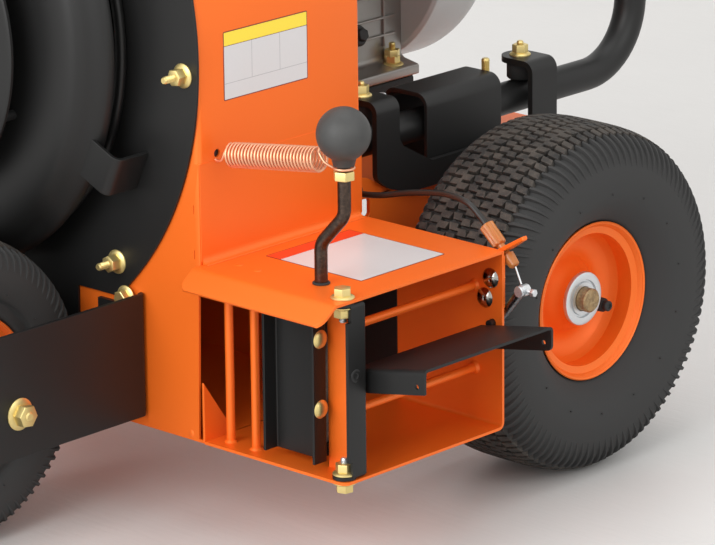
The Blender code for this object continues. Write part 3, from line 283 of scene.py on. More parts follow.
def softened(outline, radii, steps=5):
    """A closed outline with its corners rounded, by one radius or by one for each corner."""
    points = [Vector(point) for point in outline]
    if not hasattr(radii, "__len__"):
        radii = [radii] * len(points)
    route = []
    for index, radius in enumerate(radii):
        after = points[(index + 1) % len(points)]
        route += corner(points[index - 1], points[index], after, radius, steps)
    return route


def smooth(points, per_span):
    """A smooth curve through given points."""
    points = [Vector(point) for point in points]
    padded = [2 * points[0] - points[1]] + points + [2 * points[-1] - points[-2]]
    route = []
    for index in range(1, len(padded) - 2):
        a, b, c, d = padded[index - 1:index + 3]
        for step in range(per_span):
            t = step / per_span
            route.append(0.5 * (2 * b + (c - a) * t + (2 * a - 5 * b + 4 * c - d) * t ** 2
                                + (3 * b - a - 3 * c + d) * t ** 3))
    return route + [points[-1]]


def closed(mesh):
    """Joins the corners that coincide and points every face outwards."""
    bmesh.ops.remove_doubles(mesh, verts=mesh.verts, dist=1e-6)
    bmesh.ops.recalc_face_normals(mesh, faces=mesh.faces)
    return mesh


def block(low, high):
    """A box between two corners."""
    low = Vector(low)
    high = Vector(high)
    mesh = bmesh.new()
    spread = Matrix.Translation((low + high) / 2) @ Matrix.Diagonal((*(high - low), 1))
    bmesh.ops.create_cube(mesh, size=1.0, matrix=spread)
    return mesh


def lofted(rings):
    """A skin through rings with equally many points, with flat ends."""
    mesh = bmesh.new()
    rings = [[mesh.verts.new(point) for point in ring] for ring in rings]
    for ring, following in zip(rings, rings[1:]):
        for side in range(len(ring)):
            after = (side + 1) % len(ring)
            mesh.faces.new((ring[side], ring[after], following[after], following[side]))
    mesh.faces.new(rings[0])
    mesh.faces.new(rings[-1])
    return closed(mesh)


def prism(outline, axis, start, end):
    """A flat outline extruded along an axis."""
    mesh = bmesh.new()
    near = [mesh.verts.new(place(u, v, start, axis)) for u, v in outline]
    far = [mesh.verts.new(place(u, v, end, axis)) for u, v in outline]
    mesh.faces.new(near)
    mesh.faces.new(list(reversed(far)))
    for index in range(len(outline)):
        after = (index + 1) % len(outline)
        mesh.faces.new((near[after], near[index], far[index], far[after]))
    return closed(mesh)


def folded(path, thickness, axis, start, end, radius=0.0, steps=5):
    """A sheet that follows a flat path with rounded bends, with its thickness on the left side."""
    path = [Vector(point) for point in path]
    if radius:
        path = bent(path, radius, steps)
    rows = []
    for index, here in enumerate(path):
        before = path[max(index - 1, 0)]
        after = path[min(index + 1, len(path) - 1)]
        into = (here - before).normalized() if index else (after - here).normalized()
        out = (after - here).normalized() if index < len(path) - 1 else into
        normal = Vector((-into.y, into.x))
        mitre = (normal + Vector((-out.y, out.x))).normalized()
        inner = here + mitre * thickness / mitre.dot(normal)
        ring = ((here, start), (inner, start), (inner, end), (here, end))
        rows.append([place(*point, along, axis) for point, along in ring])
    return lofted(rows)


def turned(profile, axis="y", centre=(0.0, 0.0, 0.0), steps=64, phase=0.0):
    """A profile of (radius, distance along the axis) points turned round an axis."""
    mesh = bmesh.new()
    rings = []
    for radius, along in profile:
        if radius == 0:
            rings.append([mesh.verts.new(place(0, 0, along, axis))] * steps)
            continue
        ring = []
        for step in range(steps):
            angle = phase + 2 * math.pi * step / steps
            spot = place(radius * math.cos(angle), radius * math.sin(angle), along, axis)
            ring.append(mesh.verts.new(spot))
        rings.append(ring)
    pairs = list(zip(rings, rings[1:]))
    if profile[0][0] != 0 or profile[-1][0] != 0:
        pairs.append((rings[-1], rings[0]))
    for ring, following in pairs:
        for step in range(steps):
            after = (step + 1) % steps
            corners = []
            for vertex in (ring[step], ring[after], following[after], following[step]):
                if vertex not in corners:
                    corners.append(vertex)
            mesh.faces.new(corners)
    bmesh.ops.translate(mesh, verts=mesh.verts, vec=centre)
    return closed(mesh)


def rod(radius, start, end, axis, centre, steps=32):
    """A plain round bar, or the shape of a drilled hole."""
    return turned([(0, start), (radius, start), (radius, end), (0, end)], axis, centre, steps)


def swept(points, radius, sides=16, radii=None):
    """A round bar along a route, with flat ends."""
    points = [Vector(point) for point in points]
    tangents = []
    for index in range(len(points)):
        before = points[max(index - 1, 0)]
        after = points[min(index + 1, len(points) - 1)]
        tangents.append((after - before).normalized())
    helper = Vector((0, 0, 1)) if abs(tangents[0].z) < 0.9 else Vector((1, 0, 0))
    normal = tangents[0].cross(helper).normalized()
    rings = []
    for index, (point, tangent) in enumerate(zip(points, tangents)):
        normal = (normal - tangent * normal.dot(tangent)).normalized()
        other = tangent.cross(normal)
        here = radii[index] if radii else radius
        ring = []
        for side in range(sides):
            angle = 2 * math.pi * side / sides
            ring.append(point + here * (math.cos(angle) * normal + math.sin(angle) * other))
        rings.append(ring)
    return lofted(rings)


def moved(mesh, matrix):
    """The shape, put elsewhere by a matrix."""
    bmesh.ops.transform(mesh, matrix=matrix, verts=mesh.verts)
    return mesh


def aimed(mesh, at, way):
    """A shape that was built upwards from the origin, stood on a point and aimed along a direction."""
    spin = Vector((0, 0, 1)).rotation_difference(Vector(way)).to_matrix().to_4x4()
    return moved(mesh, Matrix.Translation(at) @ spin)


def together(*meshes):
    """Several shapes as one."""
    whole = bmesh.new()
    for mesh in meshes:
        data = bpy.data.meshes.new("shape")
        mesh.to_mesh(data)
        mesh.free()
        whole.from_mesh(data)
        bpy.data.meshes.remove(data)
    return whole


def hexagon(across, height, base=0.0, turn=0.0):
    """A hexagon head or nut with its corners turned off, standing at a height on the Z axis."""
    radius = across / math.sqrt(3)
    rings = []
    for share, z in ((0.95, 0), (1, 0.0006), (1, height - 0.0011), (0.97, height - 0.0004), (0.88, height)):
        reach = radius * share
        angles = [turn + math.pi * step / 3 for step in range(6)]
        rings.append([(reach * math.cos(angle), reach * math.sin(angle), base + z) for angle in angles])
    return lofted(rings)


def thread(radius, start, end, pitch=0.00125):
    """The threaded end of a stud, with its tip turned off."""
    profile = [(0, start), (radius, start)]
    z = start
    while z < end - 2 * pitch:
        profile += [(radius, z + 0.15 * pitch), (radius - 0.62 * pitch, z + 0.6 * pitch), (radius, z + pitch)]
        z += pitch
    profile += [(radius * 0.93, end - pitch * 0.8), (radius * 0.72, end), (0, end)]
    return turned(profile, "z", steps=20)


def flange_nut(radius, across, height, stud, turn=0.2):
    """A flanged nut with the end of its stud, standing on the origin."""
    flange = turned([(0, 0), (radius, 0), (radius, 0.001), (radius * 0.93, 0.0019), (across * 0.52, 0.0034),
                     (0, 0.0036)], "z", steps=40)
    parts = [flange, hexagon(across, height, 0.0022, turn)]
    if stud:
        parts.append(thread(across * 0.25, height, height + stud))
    return together(*parts)


def flange_bolt(radius, across, height, turn=0.2):
    """A flanged bolt head, standing on the origin, with a shallow dish in its top."""
    flange = turned([(0, 0), (radius, 0), (radius, 0.001), (radius * 0.93, 0.0018), (across * 0.52, 0.0032),
                     (0, 0.0034)], "z", steps=40)
    dish = turned([(0, height - 0.0008), (across * 0.3, height - 0.0008), (across * 0.36, height + 0.0003),
                   (across * 0.42, height + 0.0002), (across * 0.4, height - 0.002), (0, height - 0.002)],
                  "z", steps=32)
    return together(flange, hexagon(across, height, 0.002, turn), dish)


# Pieces

def carve(item, cutters, operation="DIFFERENCE"):
    """Cuts shapes out of an object's mesh, or adds them to it."""
    tools = []
    for index, cutter in enumerate(cutters):
        data = bpy.data.meshes.new("cutter")
        cutter.to_mesh(data)
        cutter.free()
        tool = bpy.data.objects.new("cutter", data)
        bpy.context.scene.collection.objects.link(tool)
        tools.append(tool)
        step = item.modifiers.new(f"cut {index}", "BOOLEAN")
        step.operation = operation
        step.object = tool
    settle(item)
    for tool in tools:
        data = tool.data
        bpy.data.objects.remove(tool)
        bpy.data.meshes.remove(data)


def settle(item):
    """Turns an object's modifiers into its mesh."""
    shaped = item.evaluated_get(bpy.context.evaluated_depsgraph_get())
    data = bpy.data.meshes.new_from_object(shaped)
    item.modifiers.clear()
    item.data = data


def cut(mesh, *cutters, operation="DIFFERENCE"):
    """A shape with other shapes cut out of it, or fused to it."""
    data = bpy.data.meshes.new("shape")
    mesh.to_mesh(data)
    mesh.free()
    item = bpy.data.objects.new("shape", data)
    bpy.context.scene.collection.objects.link(item)
    carve(item, cutters, operation)
    result = bmesh.new()
    result.from_mesh(item.data)
    bpy.data.objects.remove(item)
    return result


def tongue_trim(centre, radius, side, low, high):
    """The cutter that leaves a sheet's tongue with a half-round end about a centre."""
    x, y = centre
    reach = radius + 0.012
    outline = [(x + side * 0.01, y - radius), (x + side * 0.01, y - reach), (x - side * reach, y - reach),
               (x - side * reach, y + reach), (x + side * 0.01, y + reach), (x + side * 0.01, y + radius)]
    outline += [(x - side * (px - x), py) for px, py in arc(centre, radius, 90, -90, 14)]
    return prism(outline, "z", low, high)


def piece(name, mesh, finish, body=CHASSIS, nodes=(), cuts=(), edge=0.0, crease=38, segments=2):
    """Adds one finished piece: cut, moved into the row's frame, edged, shaded and riding on its body."""
    data = bpy.data.meshes.new(name)
    mesh.to_mesh(data)
    mesh.free()
    item = bpy.data.objects.new(name, data)
    bpy.context.scene.collection.objects.link(item)
    if cuts:
        carve(item, cuts)
    item.data.name = name
    item.data.transform(Matrix.Translation(SHIFT))
    item.data.materials.clear()
    item.data.materials.append(bpy.data.materials[finish])
    item.data.shade_smooth()
    if edge:
        rounding = item.modifiers.new("edges", "BEVEL")
        rounding.width = edge
        rounding.segments = segments
        rounding.limit_method = "ANGLE"
        rounding.angle_limit = math.radians(crease)
        rounding.harden_normals = True
    else:
        item.data.set_sharp_from_angle(angle=math.radians(crease))
    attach(item, body)
    if nodes:
        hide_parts(*nodes)
    return item


def keep(node, finish, edge=0.0006, crease=30):
    """Gives a CAD node that stays its finish and its rounded edges."""
    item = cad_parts[node]
    item.data.materials.clear()
    item.data.materials.append(bpy.data.materials[finish])
    weld = item.modifiers.new("weld", "WELD")
    weld.merge_threshold = 1e-5
    flat = item.modifiers.new("flat faces", "DECIMATE")
    flat.decimate_type = "DISSOLVE"
    flat.angle_limit = math.radians(0.5)
    if edge:
        rounding = item.modifiers.new("edges", "BEVEL")
        rounding.width = edge
        rounding.segments = 2
        rounding.limit_method = "ANGLE"
        rounding.angle_limit = math.radians(crease)
        rounding.harden_normals = True
    item.data.shade_smooth()
    return item


# Finishes

class Value:
    """A shader socket that takes part in Python sums. Each sum adds its Math node."""

    def __init__(self, surface, socket):
        self.surface = surface
        self.socket = socket

    def sum(self, operation, first, second, **settings):
        return self.surface.add("ShaderNodeMath", {"operation": operation, **settings}, {0: first, 1: second})

    def __add__(self, other):
        return self.sum("ADD", self, other)

    def __radd__(self, other):
        return self.sum("ADD", other, self)

    def __sub__(self, other):
        return self.sum("SUBTRACT", self, other)

    def __rsub__(self, other):
        return self.sum("SUBTRACT", other, self)

    def __mul__(self, other):
        return self.sum("MULTIPLY", self, other)

    def __rmul__(self, other):
        return self.sum("MULTIPLY", other, self)

    def __truediv__(self, other):
        return self.sum("DIVIDE", self, other)

    def limited(self):
        """The same value kept between 0 and 1."""
        return self.sum("ADD", self, 0.0, use_clamp=True)

    def above(self, level, width):
        """0 below a level and 1 above it, with a soft step of that width."""
        return ((self - (level - width / 2)) * (1 / width)).limited()


class Surface:
    """A node material while it is made."""

    def __init__(self, name, **shader):
        self.material = bpy.data.materials.new(name)
        self.material.use_nodes = True
        self.nodes = self.material.node_tree.nodes
        self.links = self.material.node_tree.links
        self.shader = self.nodes["Principled BSDF"]
        for socket, value in shader.items():
            self.shader.inputs[socket.replace("_", " ")].default_value = value
        self.place = self.add("ShaderNodeTexCoord", output="Object")

    def add(self, kind, settings=None, inputs=None, output=0):
        """Adds a node with its settings and the values or links of its sockets."""
        node = self.nodes.new(kind)
        for key, value in (settings or {}).items():
            if key == "stops":
                for index, (position, colour) in enumerate(value):
                    stops = node.color_ramp.elements
                    stop = stops[index] if index < 2 else stops.new(position)
                    stop.position = position
                    stop.color = (*colour, 1)
            else:
                setattr(node, key, value)
        for socket, value in (inputs or {}).items():
            self.feed(node.inputs[socket], value)
        return Value(self, node.outputs[output])

    def feed(self, socket, value):
        """Links a value to a socket, or sets the socket."""
        if isinstance(value, Value):
            self.links.new(value.socket, socket)
        elif socket.type == "RGBA" and len(value) == 3:
            socket.default_value = (*value, 1)
        else:
            socket.default_value = value

    def noise(self, size, detail=2.0, roughness=0.5, stretch=None):
        """Noise whose features are about size metres."""
        place_here = self.place
        if stretch:
            place_here = self.add("ShaderNodeMapping", None, {"Vector": self.place, "Scale": stretch})
        values = {"Vector": place_here, "Scale": 1 / size, "Detail": detail, "Roughness": roughness}
        return self.add("ShaderNodeTexNoise", None, values, "Fac")

    def cells(self, size, output="Distance"):
        """A cell pattern whose cells are about size metres."""
        return self.add("ShaderNodeTexVoronoi", None, {"Vector": self.place, "Scale": 1 / size}, output)

    def axis(self, name):
        """One coordinate of the surface, in metres."""
        return self.add("ShaderNodeSeparateXYZ", None, {0: self.place}, name)

    def mix(self, mask, first, second):
        """The first colour where the mask is 0 and the second where it is 1."""
        return self.add("ShaderNodeMix", {"data_type": "RGBA"}, {0: mask, 6: first, 7: second}, 2)

    def bump(self, height, depth, strength=1.0):
        """A bumpy normal from heights between 0 and 1, depth metres apart."""
        return self.add("ShaderNodeBump", None,
                        {"Strength": strength, "Distance": depth, "Height": height}, "Normal")

    def wear(self, **sockets):
        """Links what changes over the surface to the shader."""
        for socket, value in sockets.items():
            self.feed(self.shader.inputs[socket.replace("_", " ")], value)


def shade(colour, factor):
    """A colour made darker or lighter."""
    return tuple(min(1.0, part * factor) for part in colour)


def powder_coat(name, colour, rough, peel, coat, shine):
    """Powder coat: orange peel, faint mottling and a little dust."""
    surface = Surface(name, Coat_Roughness=0.1, Specular_IOR_Level=shine, Coat_Weight=coat)
    broad = surface.noise(0.18, 2)
    fine = surface.noise(0.0016, 1)
    smear = surface.noise(0.035, 4, 0.6)
    tone = surface.mix(broad, shade(colour, 0.94), shade(colour, 1.05))
    dust = smear.above(0.66, 0.2) * 0.04
    dusty = surface.mix(dust, tone, (0.4, 0.32, 0.25))
    surface.wear(Base_Color=dusty, Roughness=rough + 0.1 * smear, Normal=surface.bump(fine, peel))
    return surface


def zinc_plate(name, tones, rough):
    """Plated steel whose colour drifts over a few millimetres, with a fine grit."""
    surface = Surface(name, Metallic=1.0)
    drift = surface.noise(0.005, 2, 0.6)
    blush = surface.noise(0.0032, 1)
    first = surface.mix(drift.above(0.5, 0.25), tones[0], tones[1])
    tone = surface.mix((blush.above(0.58, 0.15)) * 0.6, first, tones[2])
    grit = surface.noise(0.0006, 2)
    surface.wear(Base_Color=tone, Roughness=rough + 0.16 * drift, Normal=surface.bump(grit, 0.00003))
    return surface


def moulded(name, colour, rough, grain, depth, **shader):
    """Moulded plastic or rubber with a fine grain and a faint bloom."""
    surface = Surface(name, **shader)
    texture = surface.noise(grain, 2, 0.6)
    bloom = surface.noise(0.03, 3, 0.6)
    tone = surface.mix(bloom.above(0.55, 0.3), colour, shade(colour, 1.35))
    surface.wear(Base_Color=tone, Roughness=rough + 0.12 * bloom, Normal=surface.bump(texture, depth))
    return surface


def tyre_rubber(name, colour, dust, amount):
    """Tyre rubber with dry dust, and scuffs where the dust sits."""
    surface = Surface(name, Specular_IOR_Level=0.35)
    clouds = surface.noise(0.022, 4, 0.65)
    specks = surface.noise(0.0014, 2, 0.6)
    powder = (clouds.above(0.52, 0.35) * 0.7 + specks.above(0.62, 0.14) * 0.5) * amount
    tone = surface.mix(powder.limited(), colour, dust)
    surface.wear(Base_Color=tone, Roughness=0.62 + 0.2 * clouds, Normal=surface.bump(specks, 0.00018))
    return surface


def casting(name, colour):
    """Sand-cast aluminium: grainy, with darker patches."""
    surface = Surface(name, Metallic=0.35)
    grain = surface.noise(0.0011, 3, 0.7)
    patches = surface.noise(0.02, 3, 0.6)
    tone = surface.mix(patches.above(0.5, 0.4), shade(colour, 0.82), shade(colour, 1.12))
    surface.wear(Base_Color=tone, Roughness=0.48 + 0.2 * patches, Normal=surface.bump(grain, 0.00022))
    return surface


def printed(name, colour):
    """A smooth printed film."""
    surface = Surface(name, Coat_Weight=0.3, Coat_Roughness=0.15)
    grain = surface.noise(0.004, 2)
    tone = surface.mix(grain, shade(colour, 0.97), colour)
    surface.wear(Base_Color=tone, Roughness=0.32 + 0.06 * grain)
    return surface


class BlowerFinishes(bpy.types.PropertyGroup):
    """The colours that a user would change."""

    orange: FloatVectorProperty(name="Housing colour", description="Powder coat of the housing, box and rims",
                                subtype="COLOR", size=3, min=0, max=1, default=(1.0, 0.124, 0.0))
    black: FloatVectorProperty(name="Plate colour", description="Powder coat of the plates, fork and handle",
                               subtype="COLOR", size=3, min=0, max=1, default=(0.014, 0.0135, 0.013))
    tyre: FloatVectorProperty(name="Tyre colour", description="Clean rubber of the tyres",
                              subtype="COLOR", size=3, min=0, max=1, default=(0.016, 0.016, 0.016))
    dust: FloatVectorProperty(name="Dust colour", description="Dry dust on the tread",
                              subtype="COLOR", size=3, min=0, max=1, default=(0.088, 0.074, 0.061))
    casting: FloatVectorProperty(name="Engine colour", description="Bare casting of the engine",
                                 subtype="COLOR", size=3, min=0, max=1, default=(0.235, 0.215, 0.195))


class BLOWER_OT_finishes(bpy.types.Operator):
    """Makes every finish, each named as the record's material slot where it has one"""

    bl_idname = "blower.finishes"
    bl_label = "Finishes"

    def execute(self, context):
        colours = context.scene.blower_finishes
        powder_coat("orange_powder_coat", tuple(colours.orange), 0.28, 0.00006, 0.05, 0.05)
        powder_coat("black_powder_coat", tuple(colours.black), 0.3, 0.00008, 0.04, 0.14)
        tyre_rubber("tyre_rubber", tuple(colours.tyre), (0.06, 0.058, 0.055), 0.35)
        tyre_rubber("tread_rubber", tuple(colours.tyre), tuple(colours.dust), 1.0)
        moulded("isolator_rubber", (0.016, 0.016, 0.016), 0.55, 0.0012, 0.00006)
        moulded("black_plastic", (0.022, 0.022, 0.022), 0.42, 0.0009, 0.00008)
        moulded("knob_plastic", (0.038, 0.038, 0.037), 0.5, 0.0012, 0.00016)
        moulded("cable_sheath", (0.01, 0.009, 0.008), 0.34, 0.002, 0.00003)
        moulded("amber_plastic", (0.36, 0.125, 0.04), 0.22, 0.003, 0.00005, Coat_Weight=0.4)
        moulded("grey_shroud", (0.3, 0.32, 0.315), 0.3, 0.0014, 0.00003, Coat_Weight=0.2)
        zinc_plate("yellow_zinc", ((0.52, 0.43, 0.2), (0.38, 0.42, 0.24), (0.5, 0.32, 0.22)), 0.12)
        zinc_plate("bright_zinc", ((0.62, 0.65, 0.68), (0.52, 0.55, 0.58), (0.72, 0.74, 0.75)), 0.22)
        zinc_plate("copper_spring_wire", ((0.74, 0.34, 0.18), (0.62, 0.26, 0.13), (0.82, 0.48, 0.31)), 0.12)
        zinc_plate("polished_steel", ((0.42, 0.4, 0.37), (0.36, 0.34, 0.31), (0.48, 0.46, 0.43)), 0.04)
        zinc_plate("grey_steel", ((0.2, 0.2, 0.21), (0.15, 0.15, 0.16), (0.25, 0.25, 0.25)), 0.2)
        zinc_plate("dark_rod", ((0.085, 0.06, 0.048), (0.055, 0.042, 0.036), (0.12, 0.08, 0.06)), 0.26)
        zinc_plate("bare_axle", ((0.42, 0.29, 0.15), (0.3, 0.21, 0.12), (0.52, 0.4, 0.24)), 0.42)
        casting("cast_aluminium", tuple(colours.casting))
        printed("panel_white", (0.62, 0.62, 0.63))
        printed("panel_border", (0.16, 0.015, 0.012))
        printed("panel_yellow", (0.9, 0.7, 0.04))
        printed("panel_red", (0.78, 0.045, 0.012))
        printed("panel_grey", (0.36, 0.36, 0.38))
        return {"FINISHED"}


class BlowerStage(bpy.types.PropertyGroup):
    """The floor and the lamps."""

    floor: FloatVectorProperty(name="Floor colour", description="Pale painted floor", subtype="COLOR", size=3,
                               min=0, max=1, default=(0.56, 0.552, 0.545))
    lamp: FloatProperty(name="Lamp strength", description="Strength of the large side lamp", default=60.0,
                        min=0, unit="POWER")
    sky: FloatProperty(name="Room light",
                       description="Strength of the even light of the room", default=1.0, min=0)


class BLOWER_OT_stage(bpy.types.Operator):
    """Sets up the camera, the floor and the lamps"""

    bl_idname = "blower.stage"
    bl_label = "Stage"

    def execute(self, context):
        scene = context.scene
        settings = scene.blower_stage
        azimuth, elevation = CAMERA_AZIMUTH, CAMERA_ELEVATION
        back = Vector((math.sin(azimuth) * math.cos(elevation), -math.cos(azimuth) * math.cos(elevation),
                       math.sin(elevation)))
        right = Vector((math.cos(azimuth), math.sin(azimuth), 0))
        up = back.cross(right)
        level = math.cos(CAMERA_ROLL) * right + math.sin(CAMERA_ROLL) * up
        upright = math.cos(CAMERA_ROLL) * up - math.sin(CAMERA_ROLL) * right
        data = bpy.data.cameras.new("camera")
        data.sensor_width = 36
        data.lens = CAMERA_LENS
        data.shift_y = CAMERA_SHIFT_Y
        data.clip_end = 60
        camera = bpy.data.objects.new("camera", data)
        camera.matrix_world = (Matrix.Translation(CAMERA_PLACE)
                               @ Matrix((level, upright, back)).transposed().to_4x4())
        scene.collection.objects.link(camera)
        scene.camera = camera

        surface = Surface("floor_paint", Specular_IOR_Level=0.35)
        across = surface.axis("X")
        along = surface.axis("Y")
        # Painted light: the floor is painted brighter towards the camera and fades towards the back.
        painted_light_falloff = ((along - across) * 0.16 + 0.3).limited()
        scratches = surface.noise(0.05, 5, 0.7, (1.0, 6.0, 1.0))
        stains = surface.noise(0.4, 4, 0.6)
        floor = tuple(settings.floor)
        tone = surface.mix(painted_light_falloff, shade(floor, 1.12), shade(floor, 1.06))
        marked = surface.mix(stains.above(0.6, 0.3) * 0.1, tone, shade(floor, 0.8))
        surface.wear(Base_Color=marked, Roughness=0.34 + 0.2 * scratches,
                     Normal=surface.bump(scratches, 0.0012, 0.35))
        ground = bpy.data.meshes.new("floor")
        ground.from_pydata([(-14, -14, 0), (14, -14, 0), (14, 14, 0), (-14, 14, 0)], [], [(0, 1, 2, 3)])
        ground.materials.append(surface.material)
        floor_item = bpy.data.objects.new("floor", ground)
        scene.collection.objects.link(floor_item)

        room = bpy.data.worlds.new("room")
        room.use_nodes = True
        room.node_tree.nodes["Background"].inputs["Color"].default_value = (1.0, 0.99, 0.97, 1)
        room.node_tree.nodes["Background"].inputs["Strength"].default_value = settings.sky
        scene.world = room
        lamps = (("side lamp", (4.2, -0.6, 2.6), 2.6, 0.6), ("front lamp", (0.4, -4.4, 2.4), 3.2, 2.6),
                 ("roof lamp", (0.2, 0.2, 4.4), 3.0, 0.6))
        for name, spot, wide, share in lamps:
            lamp = bpy.data.lights.new(name, "AREA")
            lamp.shape = "SQUARE"
            lamp.size = wide
            lamp.energy = settings.lamp * share
            item = bpy.data.objects.new(name, lamp)
            item.location = spot
            item.rotation_euler = (Vector((0, 0, 0.35)) - Vector(spot)).to_track_quat("-Z", "Y").to_euler()
            scene.collection.objects.link(item)
        scene.view_settings.view_transform = "Standard"
        return {"FINISHED"}


# Housing and outlet

def scroll_outline(inset, low, steps):
    """The housing's closed outline, inset by a sheet's thickness, from its lower front corner."""
    wall = WALL_X - inset
    outline = [(wall, low), (wall, SEAM_Z - 0.001), (wall, SEAM_Z)]
    for step in range(steps + 1):
        angle = 1.5 * math.pi * step / steps
        radius = wall + SCROLL_GROWTH * step / steps
        outline.append((radius * math.cos(angle), FAN_Z + radius * math.sin(angle)))
    return outline


class BLOWER_OT_housing(bpy.types.Operator):
    """Builds the scroll housing with its rounded front edge, its side wall and its weld slots"""

    bl_idname = "blower.housing"
    bl_label = "Fan housing"

    def execute(self, context):
        shell = prism(scroll_outline(0, FLOOR_Z, 132), "y", HOUSING_FRONT, HOUSING_BACK)
        weight = shell.edges.layers.float.new("bevel_weight_edge")
        for edge in shell.edges:
            first, second = edge.verts
            if abs(first.co.y - second.co.y) < 1e-6:
                high = min(first.co.z, second.co.z) > SEAM_Z - 0.0006
                upper = high or max(first.co.x, second.co.x) < WALL_X - 0.01
                edge[weight] = 1.0 if upper else 0.12
        data = bpy.data.meshes.new("shell")
        shell.to_mesh(data)
        shell.free()
        item = bpy.data.objects.new("shell", data)
        context.scene.collection.objects.link(item)
        rounding = item.modifiers.new("rounding", "BEVEL")
        rounding.width = 0.0075
        rounding.segments = 5
        rounding.limit_method = "WEIGHT"
        settle(item)
        inner_y = (HOUSING_FRONT + SHEET, HOUSING_BACK - SHEET)
        hook_y, hook_z = SPRING_HOOK[1:]
        spring_hole = (SPRING_HOLE, WALL_X - 0.01, WALL_X + 0.01, "x", (0, hook_y, hook_z), 20)
        cuts = [prism(scroll_outline(SHEET, FLOOR_Z + SHEET, 132), "y", *inner_y),
                rod(INLET_HOLE, HOUSING_FRONT - 0.01, HOUSING_FRONT + 0.01, "y", (0, 0, FAN_Z), 96),
                rod(SHAFT_HOLE, HOUSING_BACK - 0.01, HOUSING_BACK + 0.01, "y", (0, 0, FAN_Z), 48),
                block((WALL_X - 0.008, inner_y[0], FLOOR_Z + SHEET), (WALL_X + 0.01, inner_y[1], BOX_TOP)),
                rod(*spring_hole)]
        for slot_z in SLOTS_Z:
            cuts.append(block((0.329, HOUSING_FRONT - 0.01, slot_z - 0.0045),
                              (0.3298, HOUSING_FRONT + 0.0015, slot_z + 0.0045)))
        leaning = [(0.3342, 0.26), (0.3302, FLOOR_Z + SHEET + 0.0006), (0.345, FLOOR_Z + SHEET + 0.0006),
                   (0.345, 0.26)]
        cuts.append(prism(leaning, "y", HOUSING_FRONT - 0.01, inner_y[0] + 0.0002))
        shape = bmesh.new()
        shape.from_mesh(item.data)
        bpy.data.objects.remove(item)
        piece("fan_housing", shape, "orange_powder_coat", nodes=("scroll_wrap", "front_plate", "back_plate"),
              cuts=cuts, edge=0.0005, crease=50)
        wall = block((WALL_X + 0.0001, HOUSING_FRONT + 0.0006, BOX_TOP + SHEET + 0.0003),
                     (WALL_X + 0.0008, HOUSING_BACK - 0.0006, SEAM_Z))
        piece("wall_overlap", wall, "orange_powder_coat", edge=0.0004,
              cuts=[rod(*spring_hole)])
        bead = [(WALL_X + 0.0008, BOX_TOP + 0.0002), (WALL_X + 0.0008, BOX_TOP + 0.0085)]
        bead += arc((WALL_X + 0.0075, BOX_TOP + 0.0075), 0.0066, 180, 270, 8)
        bead += [(WALL_X + 0.008, BOX_TOP + 0.0002)]
        piece("wall_bead",
              prism(bead, "y", HOUSING_FRONT + 0.002, HOUSING_BACK - 0.004), "orange_powder_coat")
        low = FLOOR_Z + SHEET
        corner_y, corner_z = HOUSING_FRONT + 0.0009, low - 0.0005
        gusset = prism([(corner_y, corner_z), (corner_y, 0.1655), (corner_y + 0.043, corner_z)], "x",
                       WALL_X - SHEET, WALL_X - 0.0002)
        dimple = turned([(0, 0.0007), (0.003, 0.0005), (0.0045, -0.0004), (0, -0.0004)], "z", steps=24)
        piece("wall_gusset", together(gusset, aimed(dimple, (0.3195, HOUSING_FRONT, 0.1085), (0, -1, 0))),
              "orange_powder_coat", edge=0.0005)
        # Painted shade: thin black sheets laid inside the scroll and on the box's rear wall darken the
        # interior where little light reaches.
        painted_shade_back_sheet = block((0.22, inner_y[1] - 0.0014, low + 0.001),
                       (0.389, inner_y[1] - 0.0002, BOX_TOP - 0.004))
        painted_shade_scroll_sheet = folded(list(reversed(scroll_outline(SHEET + 0.0004, low + 0.0004, 96)[2:])), 0.0008, "y",
                        inner_y[0] + 0.0004, inner_y[1] - 0.0004)
        piece("housing_lining", together(painted_shade_back_sheet, painted_shade_scroll_sheet), "black_powder_coat", edge=0.0003)
        return {"FINISHED"}


